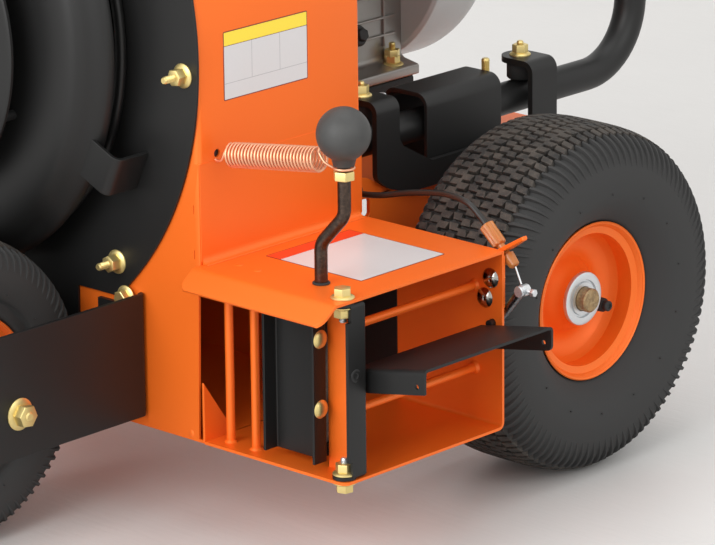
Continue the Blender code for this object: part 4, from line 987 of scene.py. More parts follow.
class BLOWER_OT_outlet(bpy.types.Operator):
    """Builds the outlet box: floor and rear wall, top plate with its visor, and the guard bars"""

    bl_idname = "blower.outlet"
    bl_label = "Outlet box"

    def execute(self, context):
        path = [(HOUSING_FRONT, FLOOR_Z), (HOUSING_BACK, FLOOR_Z), (HOUSING_BACK, BOX_TOP)]
        sheet = folded(path, SHEET, "x", WALL_X + GAP, BOX_X, 0.0075, 6)
        corner_cut = [(BOX_X + 0.01, HOUSING_FRONT - 0.01), (BOX_X + 0.01, HOUSING_FRONT + 0.008)]
        corner_cut += arc((BOX_X - 0.008, HOUSING_FRONT + 0.008), 0.008, 0, -90, 8)
        corner_cut += [(BOX_X - 0.008, HOUSING_FRONT - 0.01)]
        pin = (DEFLECTOR_AXIS[0], 0, DEFLECTOR_AXIS[1])
        cuts = [prism(corner_cut, "z", FLOOR_Z - 0.01, FLOOR_Z + 0.01),
                rod(BOLT_HOLE, FLOOR_Z - 0.01, FLOOR_Z + 0.01, "z", (*POST_BOLT, 0), 24),
                rod(0.0045, HOUSING_BACK - 0.01, HOUSING_BACK + 0.01, "y", pin, 24)]
        piece("box_floor_and_wall", sheet, "orange_powder_coat",
              nodes=("discharge_box",), cuts=cuts, edge=0.0006)
        doubler = prism(softened([(DOUBLER_X[0], DOUBLER_Z[0]), (DOUBLER_X[1], DOUBLER_Z[0]),
                                  (DOUBLER_X[1], DOUBLER_Z[1]), (DOUBLER_X[0], DOUBLER_Z[1])], 0.002, 3),
                        "y", HOUSING_BACK + 0.0001, HOUSING_BACK + DOUBLER_SHEET)
        piece("wall_doubler", doubler, "orange_powder_coat", edge=0.0006)

        under = BOX_TOP - SHEET - GAP
        strip = block((STRIP_X[0], STRIP_Y[0], FLOOR_Z + 0.002), (STRIP_X[1], STRIP_Y[1], under))
        piece("front_strip", strip, "orange_powder_coat", edge=0.0006)
        bars = []
        weld = [(0, 0), (0.0075, 0), (0.0062, 0.0014), (0.0047, 0.003), (0, 0.003)]
        for x in FRONT_BARS_X:
            bars.append(rod(BAR_RADIUS, FLOOR_Z + 0.002, under, "z", (x, FRONT_BAR_Y, 0), 28))
            bars.append(aimed(turned(weld, "z", steps=24),
                              (x, FRONT_BAR_Y, FLOOR_Z + SHEET - 0.0004), (0, 0, 1)))
        for z in SIDE_BARS_Z:
            bars.append(rod(BAR_RADIUS, STRIP_Y[1] - 0.001, HOUSING_BACK - 0.002, "y",
                            (SIDE_BAR_X, 0, z), 28))
            bars.append(aimed(turned(weld, "z", steps=24),
                              (SIDE_BAR_X, HOUSING_BACK - SHEET + 0.0004, z), (0, -1, 0)))
            bars.append(aimed(turned(weld, "z", steps=24), (SIDE_BAR_X, STRIP_Y[1] - 0.0004, z), (0, 1, 0)))
        piece("guard_bars", together(*bars), "orange_powder_coat", edge=0.0004)

        way = (FERRULE_END - FERRULE_TOP).normalized()
        tab = folded(TAB_PATH, TAB_SHEET, "y", HOUSING_BACK + GAP, -0.166)
        hole = aimed(rod(0.005, 0.0, 0.07, "z", (0, 0, 0), 24), FERRULE_TOP, way)
        (x0, y0), (x1, y1) = TAB_TAPER
        taper = prism([(x0, y0), (x1, y1), (x1, y0 + 0.01), (x0, y0 + 0.01)], "z", 0.26, 0.32)
        piece("cable_tab", cut(tab, hole, taper), "orange_powder_coat", edge=0.0014, segments=3)

        visor = [(HOUSING_BACK - SHEET - GAP, BOX_TOP), (-0.433, BOX_TOP), (-0.4556, 0.2727)]
        top = folded(visor, SHEET, "x", WALL_X + GAP, BOX_X, 0.012, 6)
        cuts = []
        for side, edge_x in ((1, BOX_X), (-1, WALL_X)):
            middle = (edge_x - side * VISOR_CORNER, -0.4556 + VISOR_CORNER)
            start = 0 if side > 0 else 180
            shape = [(edge_x + side * 0.01, -0.47), (edge_x + side * 0.01, middle[1])]
            shape += arc(middle, VISOR_CORNER, start, start - side * 90, 8)
            shape += [(middle[0], -0.47)]
            cuts.append(prism(shape, "z", 0.24, 0.32))
        cuts.append(rod(0.0074, 0.27, 0.3, "z", (*FLAP_AXIS, 0), 32))
        cuts.append(rod(BOLT_HOLE, 0.27, 0.3, "z", (*POST_BOLT, 0), 24))
        piece("top_plate_with_visor", top, "orange_powder_coat", nodes=("top_plate",), cuts=cuts, edge=0.0007)
        dimples = []
        for x, y in ((0.3655, -0.396), (0.3925, -0.3975)):
            dimple = turned([(0, 0.0007), (0.0025, 0.0006), (0.0045, 0.0002), (0.0052, -0.0004),
                             (0, -0.0004)], "z", steps=24)
            dimples.append(aimed(dimple, (x, y, BOX_TOP), (0, 0, 1)))
        piece("spot_weld_dimples", together(*dimples), "orange_powder_coat", crease=80)
        heads = []
        nuts = []
        for x, z in WALL_BOLTS:
            dome = turned([(0, 0.005), (0.0036, 0.0047), (0.007, 0.0035), (0.0096, 0.0016), (0.0105, 0.0003),
                           (0.0102, 0), (0, 0)], "z", steps=48)
            heads.append(aimed(dome, (x, HOUSING_BACK - SHEET - 0.0001, z), (0, -1, 0)))
            nuts.append(aimed(flange_nut(0.01, 0.013, 0.0075, 0.005),
                              (x, HOUSING_BACK + DOUBLER_SHEET + 0.0001, z), (0, 1, 0)))
        piece("wall_carriage_bolts", together(*heads), "polished_steel", crease=60)
        piece("wall_bolt_nuts", together(*nuts), "yellow_zinc", crease=30)
        return {"FINISHED"}


class BLOWER_OT_post(bpy.types.Operator):
    """Builds the black corner post with its bent tongues, the two post bolts and the pivot's end"""

    bl_idname = "blower.post"
    bl_label = "Corner post"

    def execute(self, context):
        low = FLOOR_Z + SHEET + GAP
        top = BOX_TOP - SHEET - 2 * GAP
        bend = 0.0052
        web = folded([(BOX_X, POST_Y[0]), (BOX_X, POST_Y[1]), (BOX_X - POST_FLANGE, POST_Y[1])], 0.0036, "z",
                     low + bend, top - bend, 0.004, 5)
        relief_y, relief_high = POST_RELIEF
        reliefs = [block((BOX_X - 0.01, POST_Y[0] - 0.01, z0), (BOX_X + 0.01, relief_y, z1))
                   for z0, z1 in ((low, low + relief_high), (top - relief_high, top))]
        inner = POST_BOLT[0] - 0.001
        rear = POST_Y[1] - 0.0022
        strip = folded([(inner, low), (BOX_X, low), (BOX_X, top), (inner, top)], 0.0036, "y",
                       relief_y, rear, bend, 6)
        clear = block((inner - 0.01, POST_Y[0] - 0.01, low + bend),
                      (BOX_X + 0.01, POST_Y[1] + 0.01, top - bend))
        rounds = []
        for z0, z1 in ((low, low + bend), (top, top - bend)):
            way = 1 if z1 > z0 else -1
            shape = [(rear + 0.01, z0 - way * 0.01), (rear - 0.005, z0 - way * 0.01), (rear - 0.005, z0)]
            shape += arc((rear - 0.005, z0 + way * 0.005), 0.005, -90 * way, 0, 6)[1:]
            shape += [(rear + 0.01, z0 + way * 0.005)]
            rounds.append(prism(shape, "x", BOX_X - 0.01, BOX_X + 0.01))
        holes = [rod(BOLT_HOLE, z - 0.01, z + 0.01, "z", (*POST_BOLT, 0), 24) for z in (low, top)]
        ends = cut(strip, clear, *rounds, *holes)
        tongues = []
        for z in (low, top - 0.0036):
            disc = [(BOLT_HOLE, z + 0.0001), (TONGUE, z + 0.0001), (TONGUE, z + 0.0035),
                    (BOLT_HOLE, z + 0.0035)]
            tongues.append(turned(disc, "z", (*POST_BOLT, 0), 48))
        piece("corner_post_plate", together(cut(web, *reliefs), ends, *tongues), "black_powder_coat",
              nodes=("corner_post",), edge=0.0008)
        cap = turned([(0, 0), (0.0068, 0), (0.0068, 0.0006), (0.0058, 0.0013), (0.003, 0.0013),
                      (0.0024, 0.0008), (0, 0.0008)], "z", steps=32)
        piece("deflector_pivot_front", aimed(cap, (BOX_X, -0.406, DEFLECTOR_AXIS[1]), (1, 0, 0)),
              "black_powder_coat", edge=0.0003)
        for name, base, way, inside in (("post_bolt_upper", BOX_TOP, 1, top - 0.004),
                                        ("post_bolt_lower", FLOOR_Z, -1, low + 0.004)):
            head = aimed(flange_bolt(*POST_HEAD), (*POST_BOLT, base + way * GAP), (0, 0, way))
            nut = aimed(flange_nut(*POST_HEAD[:2], 0.0092, 0, 0.5),
                        (*POST_BOLT, inside - way * GAP), (0, 0, -way))
            piece(f"{name}_detailed", together(head, nut), "yellow_zinc", nodes=(name,), crease=30)
            end = aimed(thread(0.0038, 0.009, 0.017), (*POST_BOLT, inside), (0, 0, -way))
            piece(f"{name}_thread", end, "bright_zinc", crease=30)
        return {"FINISHED"}


class BLOWER_OT_flap(bpy.types.Operator):
    """Builds the split flap, its bent lever, the nut and the ball knob"""

    bl_idname = "blower.flap"
    bl_label = "Split flap and lever"

    def execute(self, context):
        left, right = FLAP_X
        front, web = FLAP_Y
        path = [(right, front), (right, web), (left, web), (left, front)]
        channel = folded(path, SHEET, "z", *FLAP_Z, 0.0045, 5)
        lugs_z = (FLAP_Z[0] + 0.002, FLAP_Z[1] - 0.014)
        lugs = [rod(0.0115, z, z + 0.012, "z", (*FLAP_AXIS, 0), 32) for z in lugs_z]
        piece("split_flap_channel", together(channel, *lugs), "black_powder_coat", "flap", ("split_flap",),
              edge=0.0006, cuts=[rod(0.0076, 0.1, 0.27, "z", (*FLAP_AXIS, 0), 32)])
        screws = []
        for z in (0.24, 0.168):
            head = turned([(0, 0.0046), (0.003, 0.0044), (0.0062, 0.0034), (0.0086, 0.0016), (0.0095, 0.0004),
                           (0.0094, 0.0), (0, 0)], "z", steps=40)
            screws.append(aimed(head, (right + 0.0001, -0.4082, z), (1, 0, 0)))
        piece("flap_screws", together(*screws), "yellow_zinc", "flap", crease=40)

        route = [(*FLAP_AXIS, 0.116), (*FLAP_AXIS, LEVER_BENDS[0]),
                 (*LEVER_TOP, LEVER_BENDS[1]), (*LEVER_TOP, 0.418)]
        rod_shape = swept(bent([Vector(point) for point in route], 0.02, 10), 0.0066, 24)
        piece("bent_lever", rod_shape, "dark_rod", "flap", ("flap_lever",), edge=0.0006)
        collar = turned([(0.0068, BOX_TOP + 0.0002), (0.0088, BOX_TOP + 0.0002), (0.009, BOX_TOP + 0.0012),
                         (0.008, BOX_TOP + 0.0022), (0.0068, BOX_TOP + 0.0022)], "z", (*FLAP_AXIS, 0), 32)
        piece("lever_grommet", collar, "isolator_rubber", "flap", crease=60)
        nut = aimed(hexagon(0.019, 0.0095, 0, 0.35), (*LEVER_TOP, 0.399), (0, 0, 1))
        piece("lever_nut", nut, "yellow_zinc", "flap", crease=25, edge=0.0003)
        neck = KNOB_NECK_Z - KNOB_Z
        ball = [(0, neck), (0.01, neck), (0.0106, neck + 0.0006)]
        for step in range(1, 33):
            angle = math.pi * step / 33
            if KNOB_RADIUS * math.sin(angle) > 0.0106 or step > 16:
                ball.append((KNOB_RADIUS * math.sin(angle), -KNOB_RADIUS * math.cos(angle)))
        ball.append((0, KNOB_RADIUS))
        piece("ball_knob_smooth", turned(ball, "z", (*LEVER_TOP, KNOB_Z), 64), "knob_plastic", "flap",
              ("ball_knob",), crease=50)
        return {"FINISHED"}


class BlowerSpring(bpy.types.PropertyGroup):
    """The return spring."""

    coils: IntProperty(name="Coils", description="Number of close coils", default=27, min=4, max=80)
    wire: FloatProperty(name="Wire", description="Thickness of the spring's wire", default=0.0027,
                        unit="LENGTH", min=0.0005, max=0.005)


class BLOWER_OT_spring(bpy.types.Operator):
    """Coils the return spring between the wall's hole and the lever's stud"""

    bl_idname = "blower.spring"
    bl_label = "Return spring"

    def execute(self, context):
        settings = context.scene.blower_spring
        start = Vector((SPRING_HOOK[0] + 0.021, SPRING_HOOK[1], SPRING_HOOK[2] + 0.002))
        end = Vector((LEVER_TOP[0] - 0.031, LEVER_TOP[1], SPRING_LOOP_Z + 0.0025))
        along = (end - start).normalized()
        side = along.cross(Vector((0, 0, 1))).normalized()
        up = side.cross(along)
        per_turn = 20
        turns = settings.coils * per_turn
        route = [start - along * 0.024 - up * 0.0046, start - along * 0.02 - up * 0.0068,
                 start - along * 0.015 - up * 0.0062, start - along * 0.011 - up * 0.0012,
                 start - along * 0.0085 + up * 0.005 - side * 0.002,
                 start - along * 0.0045 + up * 0.01 - side * 0.0055]
        route = smooth(route, 5)
        for step in range(turns + 1):
            angle = 2 * math.pi * step / per_turn
            middle = start.lerp(end, step / turns)
            route.append(middle + SPRING_RADIUS * (math.cos(angle) * up + math.sin(angle) * side))
        level = Vector((along.x, along.y, 0)).normalized()
        stud = Vector((*LEVER_TOP, SPRING_LOOP_Z))
        loop = [end + along * 0.0032 + up * 0.009 + side * 0.006,
                end + along * 0.011 + side * 0.008 - up * 0.0005]
        for step in range(13):
            angle = math.radians(40 + 280 * step / 12)
            loop.append(stud + 0.01 * (math.cos(angle) * -level + math.sin(angle) * side))
        route += smooth(loop, 4)
        piece("coiled_return_spring", swept(route, settings.wire / 2, 10), "copper_spring_wire",
              nodes=("return_spring",), crease=60)
        return {"FINISHED"}


class BLOWER_OT_deflector(bpy.types.Operator):
    """Builds the trajectory deflector, its pins, arm, swivel, clamp screw and wire"""

    bl_idname = "blower.deflector"
    bl_label = "Trajectory deflector"

    def execute(self, context):
        x, z = DEFLECTOR_AXIS
        front, back = DEFLECTOR_Y
        turn = (Matrix.Translation((x, 0, z)) @ Matrix.Rotation(-DEFLECTOR_TILT, 4, "Y")
                @ Matrix.Translation((-x, 0, -z)))
        across = [(back, z - DEFLECTOR_DEPTH), (back, z), (front, z), (front, z - DEFLECTOR_DEPTH)]
        channel = moved(folded(across, SHEET, "x", x - 0.007, DEFLECTOR_TIP_X + 0.01, 0.0055, 6), turn)
        slope = Vector((math.cos(DEFLECTOR_TILT), math.sin(DEFLECTOR_TILT)))
        reach = (DEFLECTOR_TIP_X - x - DEFLECTOR_DEPTH * slope.y) / slope.x
        tip = Vector((x, z)) + slope * reach + Vector((slope.y, -slope.x)) * DEFLECTOR_DEPTH
        middle = tip + Vector((-0.006, 0.005))
        trim = [(tip.x + 0.01, middle.y)] + arc(middle, 0.006, 0, -80, 8)
        trim += [(middle.x, tip.y - 0.01), (tip.x + 0.01, tip.y - 0.01)]
        shape = cut(channel, block((DEFLECTOR_TIP_X, front - 0.01, z - 0.04),
                                   (DEFLECTOR_TIP_X + 0.03, back + 0.01, z + 0.04)),
                    prism(trim, "y", back - 0.008, back + 0.01),
                    rod(0.0026, front - 0.01, back + 0.01, "y", (tip.x - 0.0101, 0, tip.y + 0.0067), 24))
        pins = [rod(0.004, POST_Y[1] - 0.0045, front + 0.0015, "y", (x, 0, z), 24),
                rod(0.004, back - 0.0015, ARM_Y[1] + 0.002, "y", (x, 0, z), 24)]
        piece("trajectory_deflector_plate", together(shape, *pins), "black_powder_coat", "deflector",
              ("trajectory_deflector",), edge=0.0006)

        arm_y = (ARM_Y[0] + ARM_Y[1]) / 2 + 0.0018
        foot = Vector((x, arm_y, z))
        head = Vector((SWIVEL.x, arm_y, SWIVEL.z))
        along = (head - foot).normalized()
        bar = swept([foot - along * 0.003, foot, foot.lerp(head, 0.5), head - along * 0.003, head,
                     head + along * 0.0022, head + along * 0.0034], 0.0046, 20,
                    (0.0036, 0.0046, 0.0045, 0.0046, 0.0048, 0.0036, 0.0016))
        hub = rod(0.0068, ARM_Y[0], ARM_Y[1] + 0.001, "y", (x, 0, z), 28)
        piece("deflector_arm_bar", together(bar, hub), "grey_steel", "deflector",
              ("deflector_arm",), edge=0.0005)
        barrel = turned([(0, ARM_Y[0] - 0.0012), (0.0052, ARM_Y[0] - 0.0012), (0.0058, ARM_Y[0] - 0.0006),
                         (0.0058, ARM_Y[0] + 0.0006), (0.005, ARM_Y[0] + 0.0008), (0.005, ARM_Y[1] + 0.0003),
                         (0.006, ARM_Y[1] + 0.0005), (0.006, -0.1714), (0.0054, -0.1708), (0, -0.1708)],
                        "y", (SWIVEL.x, 0, SWIVEL.z), 32)
        clamp = together(thread(0.0028, 0.004, 0.0115), hexagon(0.0072, 0.0045, 0.011, 0.3))
        clamp = aimed(clamp, SWIVEL, (1, 0, 0))
        piece("cable_swivel_barrel", together(barrel, clamp), "bright_zinc", "deflector",
              ("cable_swivel",), crease=30)
        way = (FERRULE_END - SWIVEL).normalized()
        piece("deflector_wire_drawn", swept([SWIVEL + way * 0.0066, FERRULE_END - way * 0.0008], 0.001, 12),
              "bright_zinc", nodes=("deflector_wire",))
        return {"FINISHED"}


class BLOWER_OT_cable(bpy.types.Operator):
    """Builds the fluted ferrule and the sheathed control cable that runs up to the handle"""

    bl_idname = "blower.cable"
    bl_label = "Control cable"

    def execute(self, context):
        along = (FERRULE_END - FERRULE_TOP).normalized()
        length = (FERRULE_END - FERRULE_TOP).length
        stations = ((0.0, 0.0062), (0.001, 0.0079), (0.0245, 0.0076), (0.0256, 0.006), (0.0262, 0.0042),
                    (0.0384, 0.0042), (0.039, 0.0068), (0.0445, 0.0064),
                    (length - 0.001, 0.0056), (length, 0.0042))
        rings = []
        sides = 48
        for z, radius in stations:
            ring = []
            for side in range(sides):
                angle = 2 * math.pi * side / sides
                flute = 1 - 0.2 * max(0.0, math.cos(angle * 8)) * (1 if radius > 0.007 else 0)
                ring.append((radius * flute * math.cos(angle), radius * flute * math.sin(angle), z))
            rings.append(ring)
        nub = aimed(rod(0.0024, 0.004, 0.0092, "z", (0, 0, 0), 20), (0, 0, 0.0425), (1, -0.2, 0))
        piece("fluted_ferrule", aimed(together(lofted(rings), nub), FERRULE_TOP, along), "amber_plastic",
              nodes=("cable_ferrule",), crease=35)
        first = FERRULE_TOP - along * 0.0006
        route = [first] + smooth([first - along * 0.008, *CABLE_POINTS], 6)
        cable = piece("control_cable_sheath", swept(route, CABLE_RADIUS, 14), "cable_sheath",
                      nodes=("control_cable",), crease=50)
        length = sum((b - a).length for a, b in zip(route, route[1:]))
        [tuple(point + SHIFT) for point in route]
        grommet = turned([(0.0045, DECK_HALF - 0.007), (0.0085, DECK_HALF - 0.007),
                          (0.0085, DECK_HALF + 0.002), (0.0065, DECK_HALF + 0.004),
                          (0.0038, DECK_HALF + 0.004)], "x", (0, *CABLE_HOLE), 32)
        piece("cable_grommet", grommet, "isolator_rubber", crease=50)
        return {"FINISHED"}


# Intake and fan

TAB_ANGLES = tuple(math.radians(angle) for angle in (-25, 65, 155, 245))
STUD_PLACES = ((0.322, 0.481), (0.222, 0.2705), (0.0, 0.176), (-0.2256, 0.2694), (-0.319, 0.495),
               (-0.2256, 0.7206), (0.0, 0.814), (0.2333, 0.7126))


class BLOWER_OT_intake(bpy.types.Operator):
    """Builds the inlet plate with its studs, the rolled ring, both shields, their tabs and the guard"""

    bl_idname = "blower.intake"
    bl_label = "Air intake"

    def execute(self, context):
        centre = (0, 0, FAN_Z)
        back = HOUSING_FRONT - 0.0003
        front = back - SHEET
        bore = INLET_HOLE - 0.0015
        rim_line = [(bore, back), (INLET_PLATE_RADIUS, back), (INLET_PLATE_RADIUS, front), (bore, front)]
        plate = turned(rim_line, "y", centre, 160)
        notches = [block((FRONT_X - FORK_HALF - 0.01, front - 0.01, 0.1),
                         (FRONT_X - FORK_HALF + 0.086, back + 0.01, 0.226)),
                   block((0.163, front - 0.01, 0.1), (0.35, back + 0.01, 0.234))]
        piece("inlet_plate_disc", plate, "black_powder_coat", nodes=("inlet_plate",),
              cuts=notches, edge=0.0006)
        lip = [(0.228, back + 0.016), (0.23, back + 0.0175), (0.235, back + 0.0175), (0.2375, back + 0.016),
               (0.2375, front - 0.0003), (0.243, front - 0.0003), (0.2454, front - 0.0025),
               (0.2454, front - 0.0065), (0.2436, front - 0.0088), (0.24, front - 0.0095),
               (0.234, front - 0.007), (0.23, front + 0.001)]
        piece("inlet_ring_rolled", turned(lip, "y", centre, 128), "black_powder_coat",
              nodes=("inlet_ring",), crease=50)

        line = smooth([(0.2572, -0.458), (0.2545, -0.4645), (0.245, -0.474), (0.238, -0.4815),
                       (0.228, -0.4885), (0.21, -0.4915), (0.18, -0.493), (0.15, -0.494)], 4)
        outer = [(point.x, point.y) for point in line]
        profile = outer + [(radius, along + SHEET) for radius, along in reversed(outer)]
        tabs = []
        screws = []
        for angle in TAB_ANGLES:
            spin = Matrix.Translation(centre) @ Matrix.Rotation(-angle, 4, "Y")
            path = [(0.285, front - 0.0003), (0.285, -0.465), (0.244, -0.465)]
            tab = folded(path, 0.004, "z", -0.022, 0.022, 0.006, 5)
            tabs.append(moved(tab, spin))
            for offset in (-0.012, 0.012):
                head = turned([(0, 0.0022), (0.0024, 0.0022), (0.0042, 0.0014), (0.0046, 0), (0, 0)],
                              "z", steps=24)
                screws.append(moved(aimed(head, (0.268, -0.4652, offset), (0, -1, 0)), spin))
        shield = turned(profile, "y", centre, 144)
        piece("ring_shield_spun", together(shield, *tabs, *screws), "black_powder_coat",
              nodes=("ring_shield",), edge=0.0006, crease=50)

        line = smooth([(0.0, -0.554), (0.035, -0.553), (0.07, -0.5495), (0.105, -0.543), (0.135, -0.5345),
                       (0.16, -0.527), (0.1765, -0.524), (0.18, -0.5225)], 5)
        outer = [(max(point.x, 0.0), point.y) for point in line]
        outer[0] = (0, outer[0][1])
        inner = [(radius, along + SHEET) for radius, along in reversed(outer)]
        stay_places = [(STAY_RADIUS * math.cos(angle), FAN_Z + STAY_RADIUS * math.sin(angle))
                       for angle in TAB_ANGLES]
        stays = [rod(0.005, -0.5235, -0.4943, "y", (x, 0, z), 20) for x, z in stay_places]
        bolts = [aimed(flange_bolt(*DISC_BOLT), (x, -0.5262, z), (0, -1, 0)) for x, z in stay_places]
        piece("disc_shield_spun", together(turned(outer + inner, "y", centre, 128), *stays),
              "black_powder_coat", nodes=("disc_shield",), crease=50)
        piece("disc_shield_bolts", together(*bolts), "black_powder_coat", crease=30)

        nuts = []
        for x, z in STUD_PLACES:
            nuts.append(aimed(flange_nut(*INLET_NUT, 0.016, x * 7), (x, front, z), (0, -1, 0)))
        nuts.append(aimed(flange_bolt(0.012, 0.0145, 0.0085, 0.3), (0.2336, front, 0.2357), (0, -1, 0)))
        piece("inlet_plate_nuts", together(*nuts), "yellow_zinc", crease=30)

        guard_y = back + 0.0225
        wires = []
        for radius in GUARD_RINGS:
            ring = [(radius * math.cos(math.radians(step)), guard_y,
                     FAN_Z + radius * math.sin(math.radians(step)))
                    for step in range(0, 361, 4)]
            wires.append(swept(ring, 0.0018, 8))
        for spoke in range(4):
            angle = math.radians(45 * spoke + 22)
            tip = Vector((0.229 * math.cos(angle), 0, 0.229 * math.sin(angle)))
            middle = Vector((0, guard_y + 0.003, FAN_Z))
            wires.append(swept([middle - tip, middle, middle + tip], 0.0019, 8))
        piece("inlet_guard_wires", together(*wires), "black_powder_coat", nodes=("inlet_guard",), crease=60)
        return {"FINISHED"}


class BLOWER_OT_fan(bpy.types.Operator):
    """Builds the fan wheel with curved blades on its hub, and the engine's drive shaft"""

    bl_idname = "blower.fan"
    bl_label = "Fan wheel"

    def execute(self, context):
        centre = (0, 0, FAN_Z)
        plate_y = FAN_PLATE_Y
        wide = FAN_DISC_RADIUS
        disc = turned([(0.013, plate_y), (wide, plate_y), (wide + 0.002, plate_y - 0.002),
                       (wide, plate_y - 0.004), (0.05, plate_y - 0.004), (0.042, plate_y - 0.01),
                       (0.036, plate_y - 0.055), (0.032, plate_y - 0.06),
                       (0.013, plate_y - 0.06)], "y", centre, 96)
        shapes = [disc]
        for blade in range(FAN_BLADES):
            line = smooth([(0.05, -0.02), (0.105, -0.006), (0.17, 0.007), (0.23, 0.0115), (0.285, 0.01)], 4)
            vane = folded([(p.x, p.y) for p in line], 0.004, "y", -0.38, plate_y - 0.003)
            spin = Matrix.Translation(centre) @ Matrix.Rotation(2 * math.pi * blade / FAN_BLADES, 4, "Y")
            shapes.append(moved(vane, spin))
        piece("fan_wheel", together(*shapes), "black_powder_coat", "fan", ("impeller",), edge=0.0006)
        shaft = turned([(0, -0.31), (0.006, -0.31), (0.0068, -0.3092), (0.0068, -0.301), (0.019, -0.301),
                        (0.02, -0.3), (0.02, -0.287), (0.0127, -0.2865), (0.0127, -0.1), (0, -0.1)],
                       "y", centre, 48)
        head = aimed(hexagon(0.019, 0.0085, 0, 0.2), (0, -0.3005, FAN_Z), (0, -1, 0))
        piece("drive_shaft_turned", together(shaft, head), "bright_zinc", "fan", ("drive_shaft",), crease=30)
        return {"FINISHED"}


# Deck and handle

class BLOWER_OT_deck(bpy.types.Operator):
    """Builds the folded deck with its gussets, the engine's riser and their bolts"""

    bl_idname = "blower.deck"
    bl_label = "Deck"

    def execute(self, context):
        front = HOUSING_BACK + 0.0003
        (shoulder, wide), (waist, narrow) = DECK_TAPER
        outline = [(-wide, front), (wide, front), (wide, shoulder), (narrow, waist), (narrow, DECK_REAR),
                   (-narrow, DECK_REAR), (-narrow, waist), (-wide, shoulder)]
        plate = prism(outline, "z", DECK_Z - SHEET, DECK_Z)
        shapes = [plate]
        for side in (-1, 1):
            skirt = softened([(front, DECK_Z - 0.001), (front, 0.325), (-0.15, 0.316),
                              (-0.115, DECK_Z - 0.001), (shoulder, DECK_Z - 0.001), (shoulder, 0.215),
                              (0.06, 0.2), (0.025, 0.155), (-0.06, DECK_LOW), (front, DECK_LOW),
                              (front, 0.266), (-0.158, 0.266), (-0.147, 0.277), (-0.147, 0.29),
                              (-0.15, DECK_Z - 0.001)],
                             (0, 0.004, 0.012, 0.006, 0, 0.012, 0.02, 0.02, 0.02, 0.002, 0.0, 0.003, 0.003,
                              0.002, 0), 5)
            x = sorted((side * (DECK_HALF - 0.005), side * DECK_HALF))
            shapes.append(cut(prism(skirt, "x", *x),
                              rod(AXLE_RADIUS + 0.0006, -0.35, 0.35, "x", (0, 0, WHEEL_RADIUS), 32),
                              rod(0.006, 0.3, 0.32, "x", (0, *CABLE_HOLE), 24)))
        piece("engine_deck_folded", together(*shapes), "orange_powder_coat",
              nodes=("engine_deck",), edge=0.0007)
        low = DECK_Z + 0.0003
        high = ENGINE_BASE - GAP
        hat = [(RISER_FOOT_X, low), (RISER_TOP_X, low), (RISER_TOP_X, high), (-RISER_TOP_X, high),
               (-RISER_TOP_X, low), (-RISER_FOOT_X, low)]
        hat = [(x, z + SHEET if z == low else z) for x, z in hat]
        piece("engine_riser_folded", folded(hat, SHEET, "y", *RISER_Y, 0.006, 5), "black_powder_coat",
              nodes=("engine_riser",), edge=0.0006)
        bolts = []
        for x in (-RISER_BOLTS_X, RISER_BOLTS_X):
            for y in RISER_BOLTS_Y:
                bolts.append(aimed(flange_bolt(*RISER_BOLT, y * 9), (x, y, low + SHEET), (0, 0, 1)))
        piece("riser_bolts", together(*bolts), "yellow_zinc", crease=30)
        return {"FINISHED"}


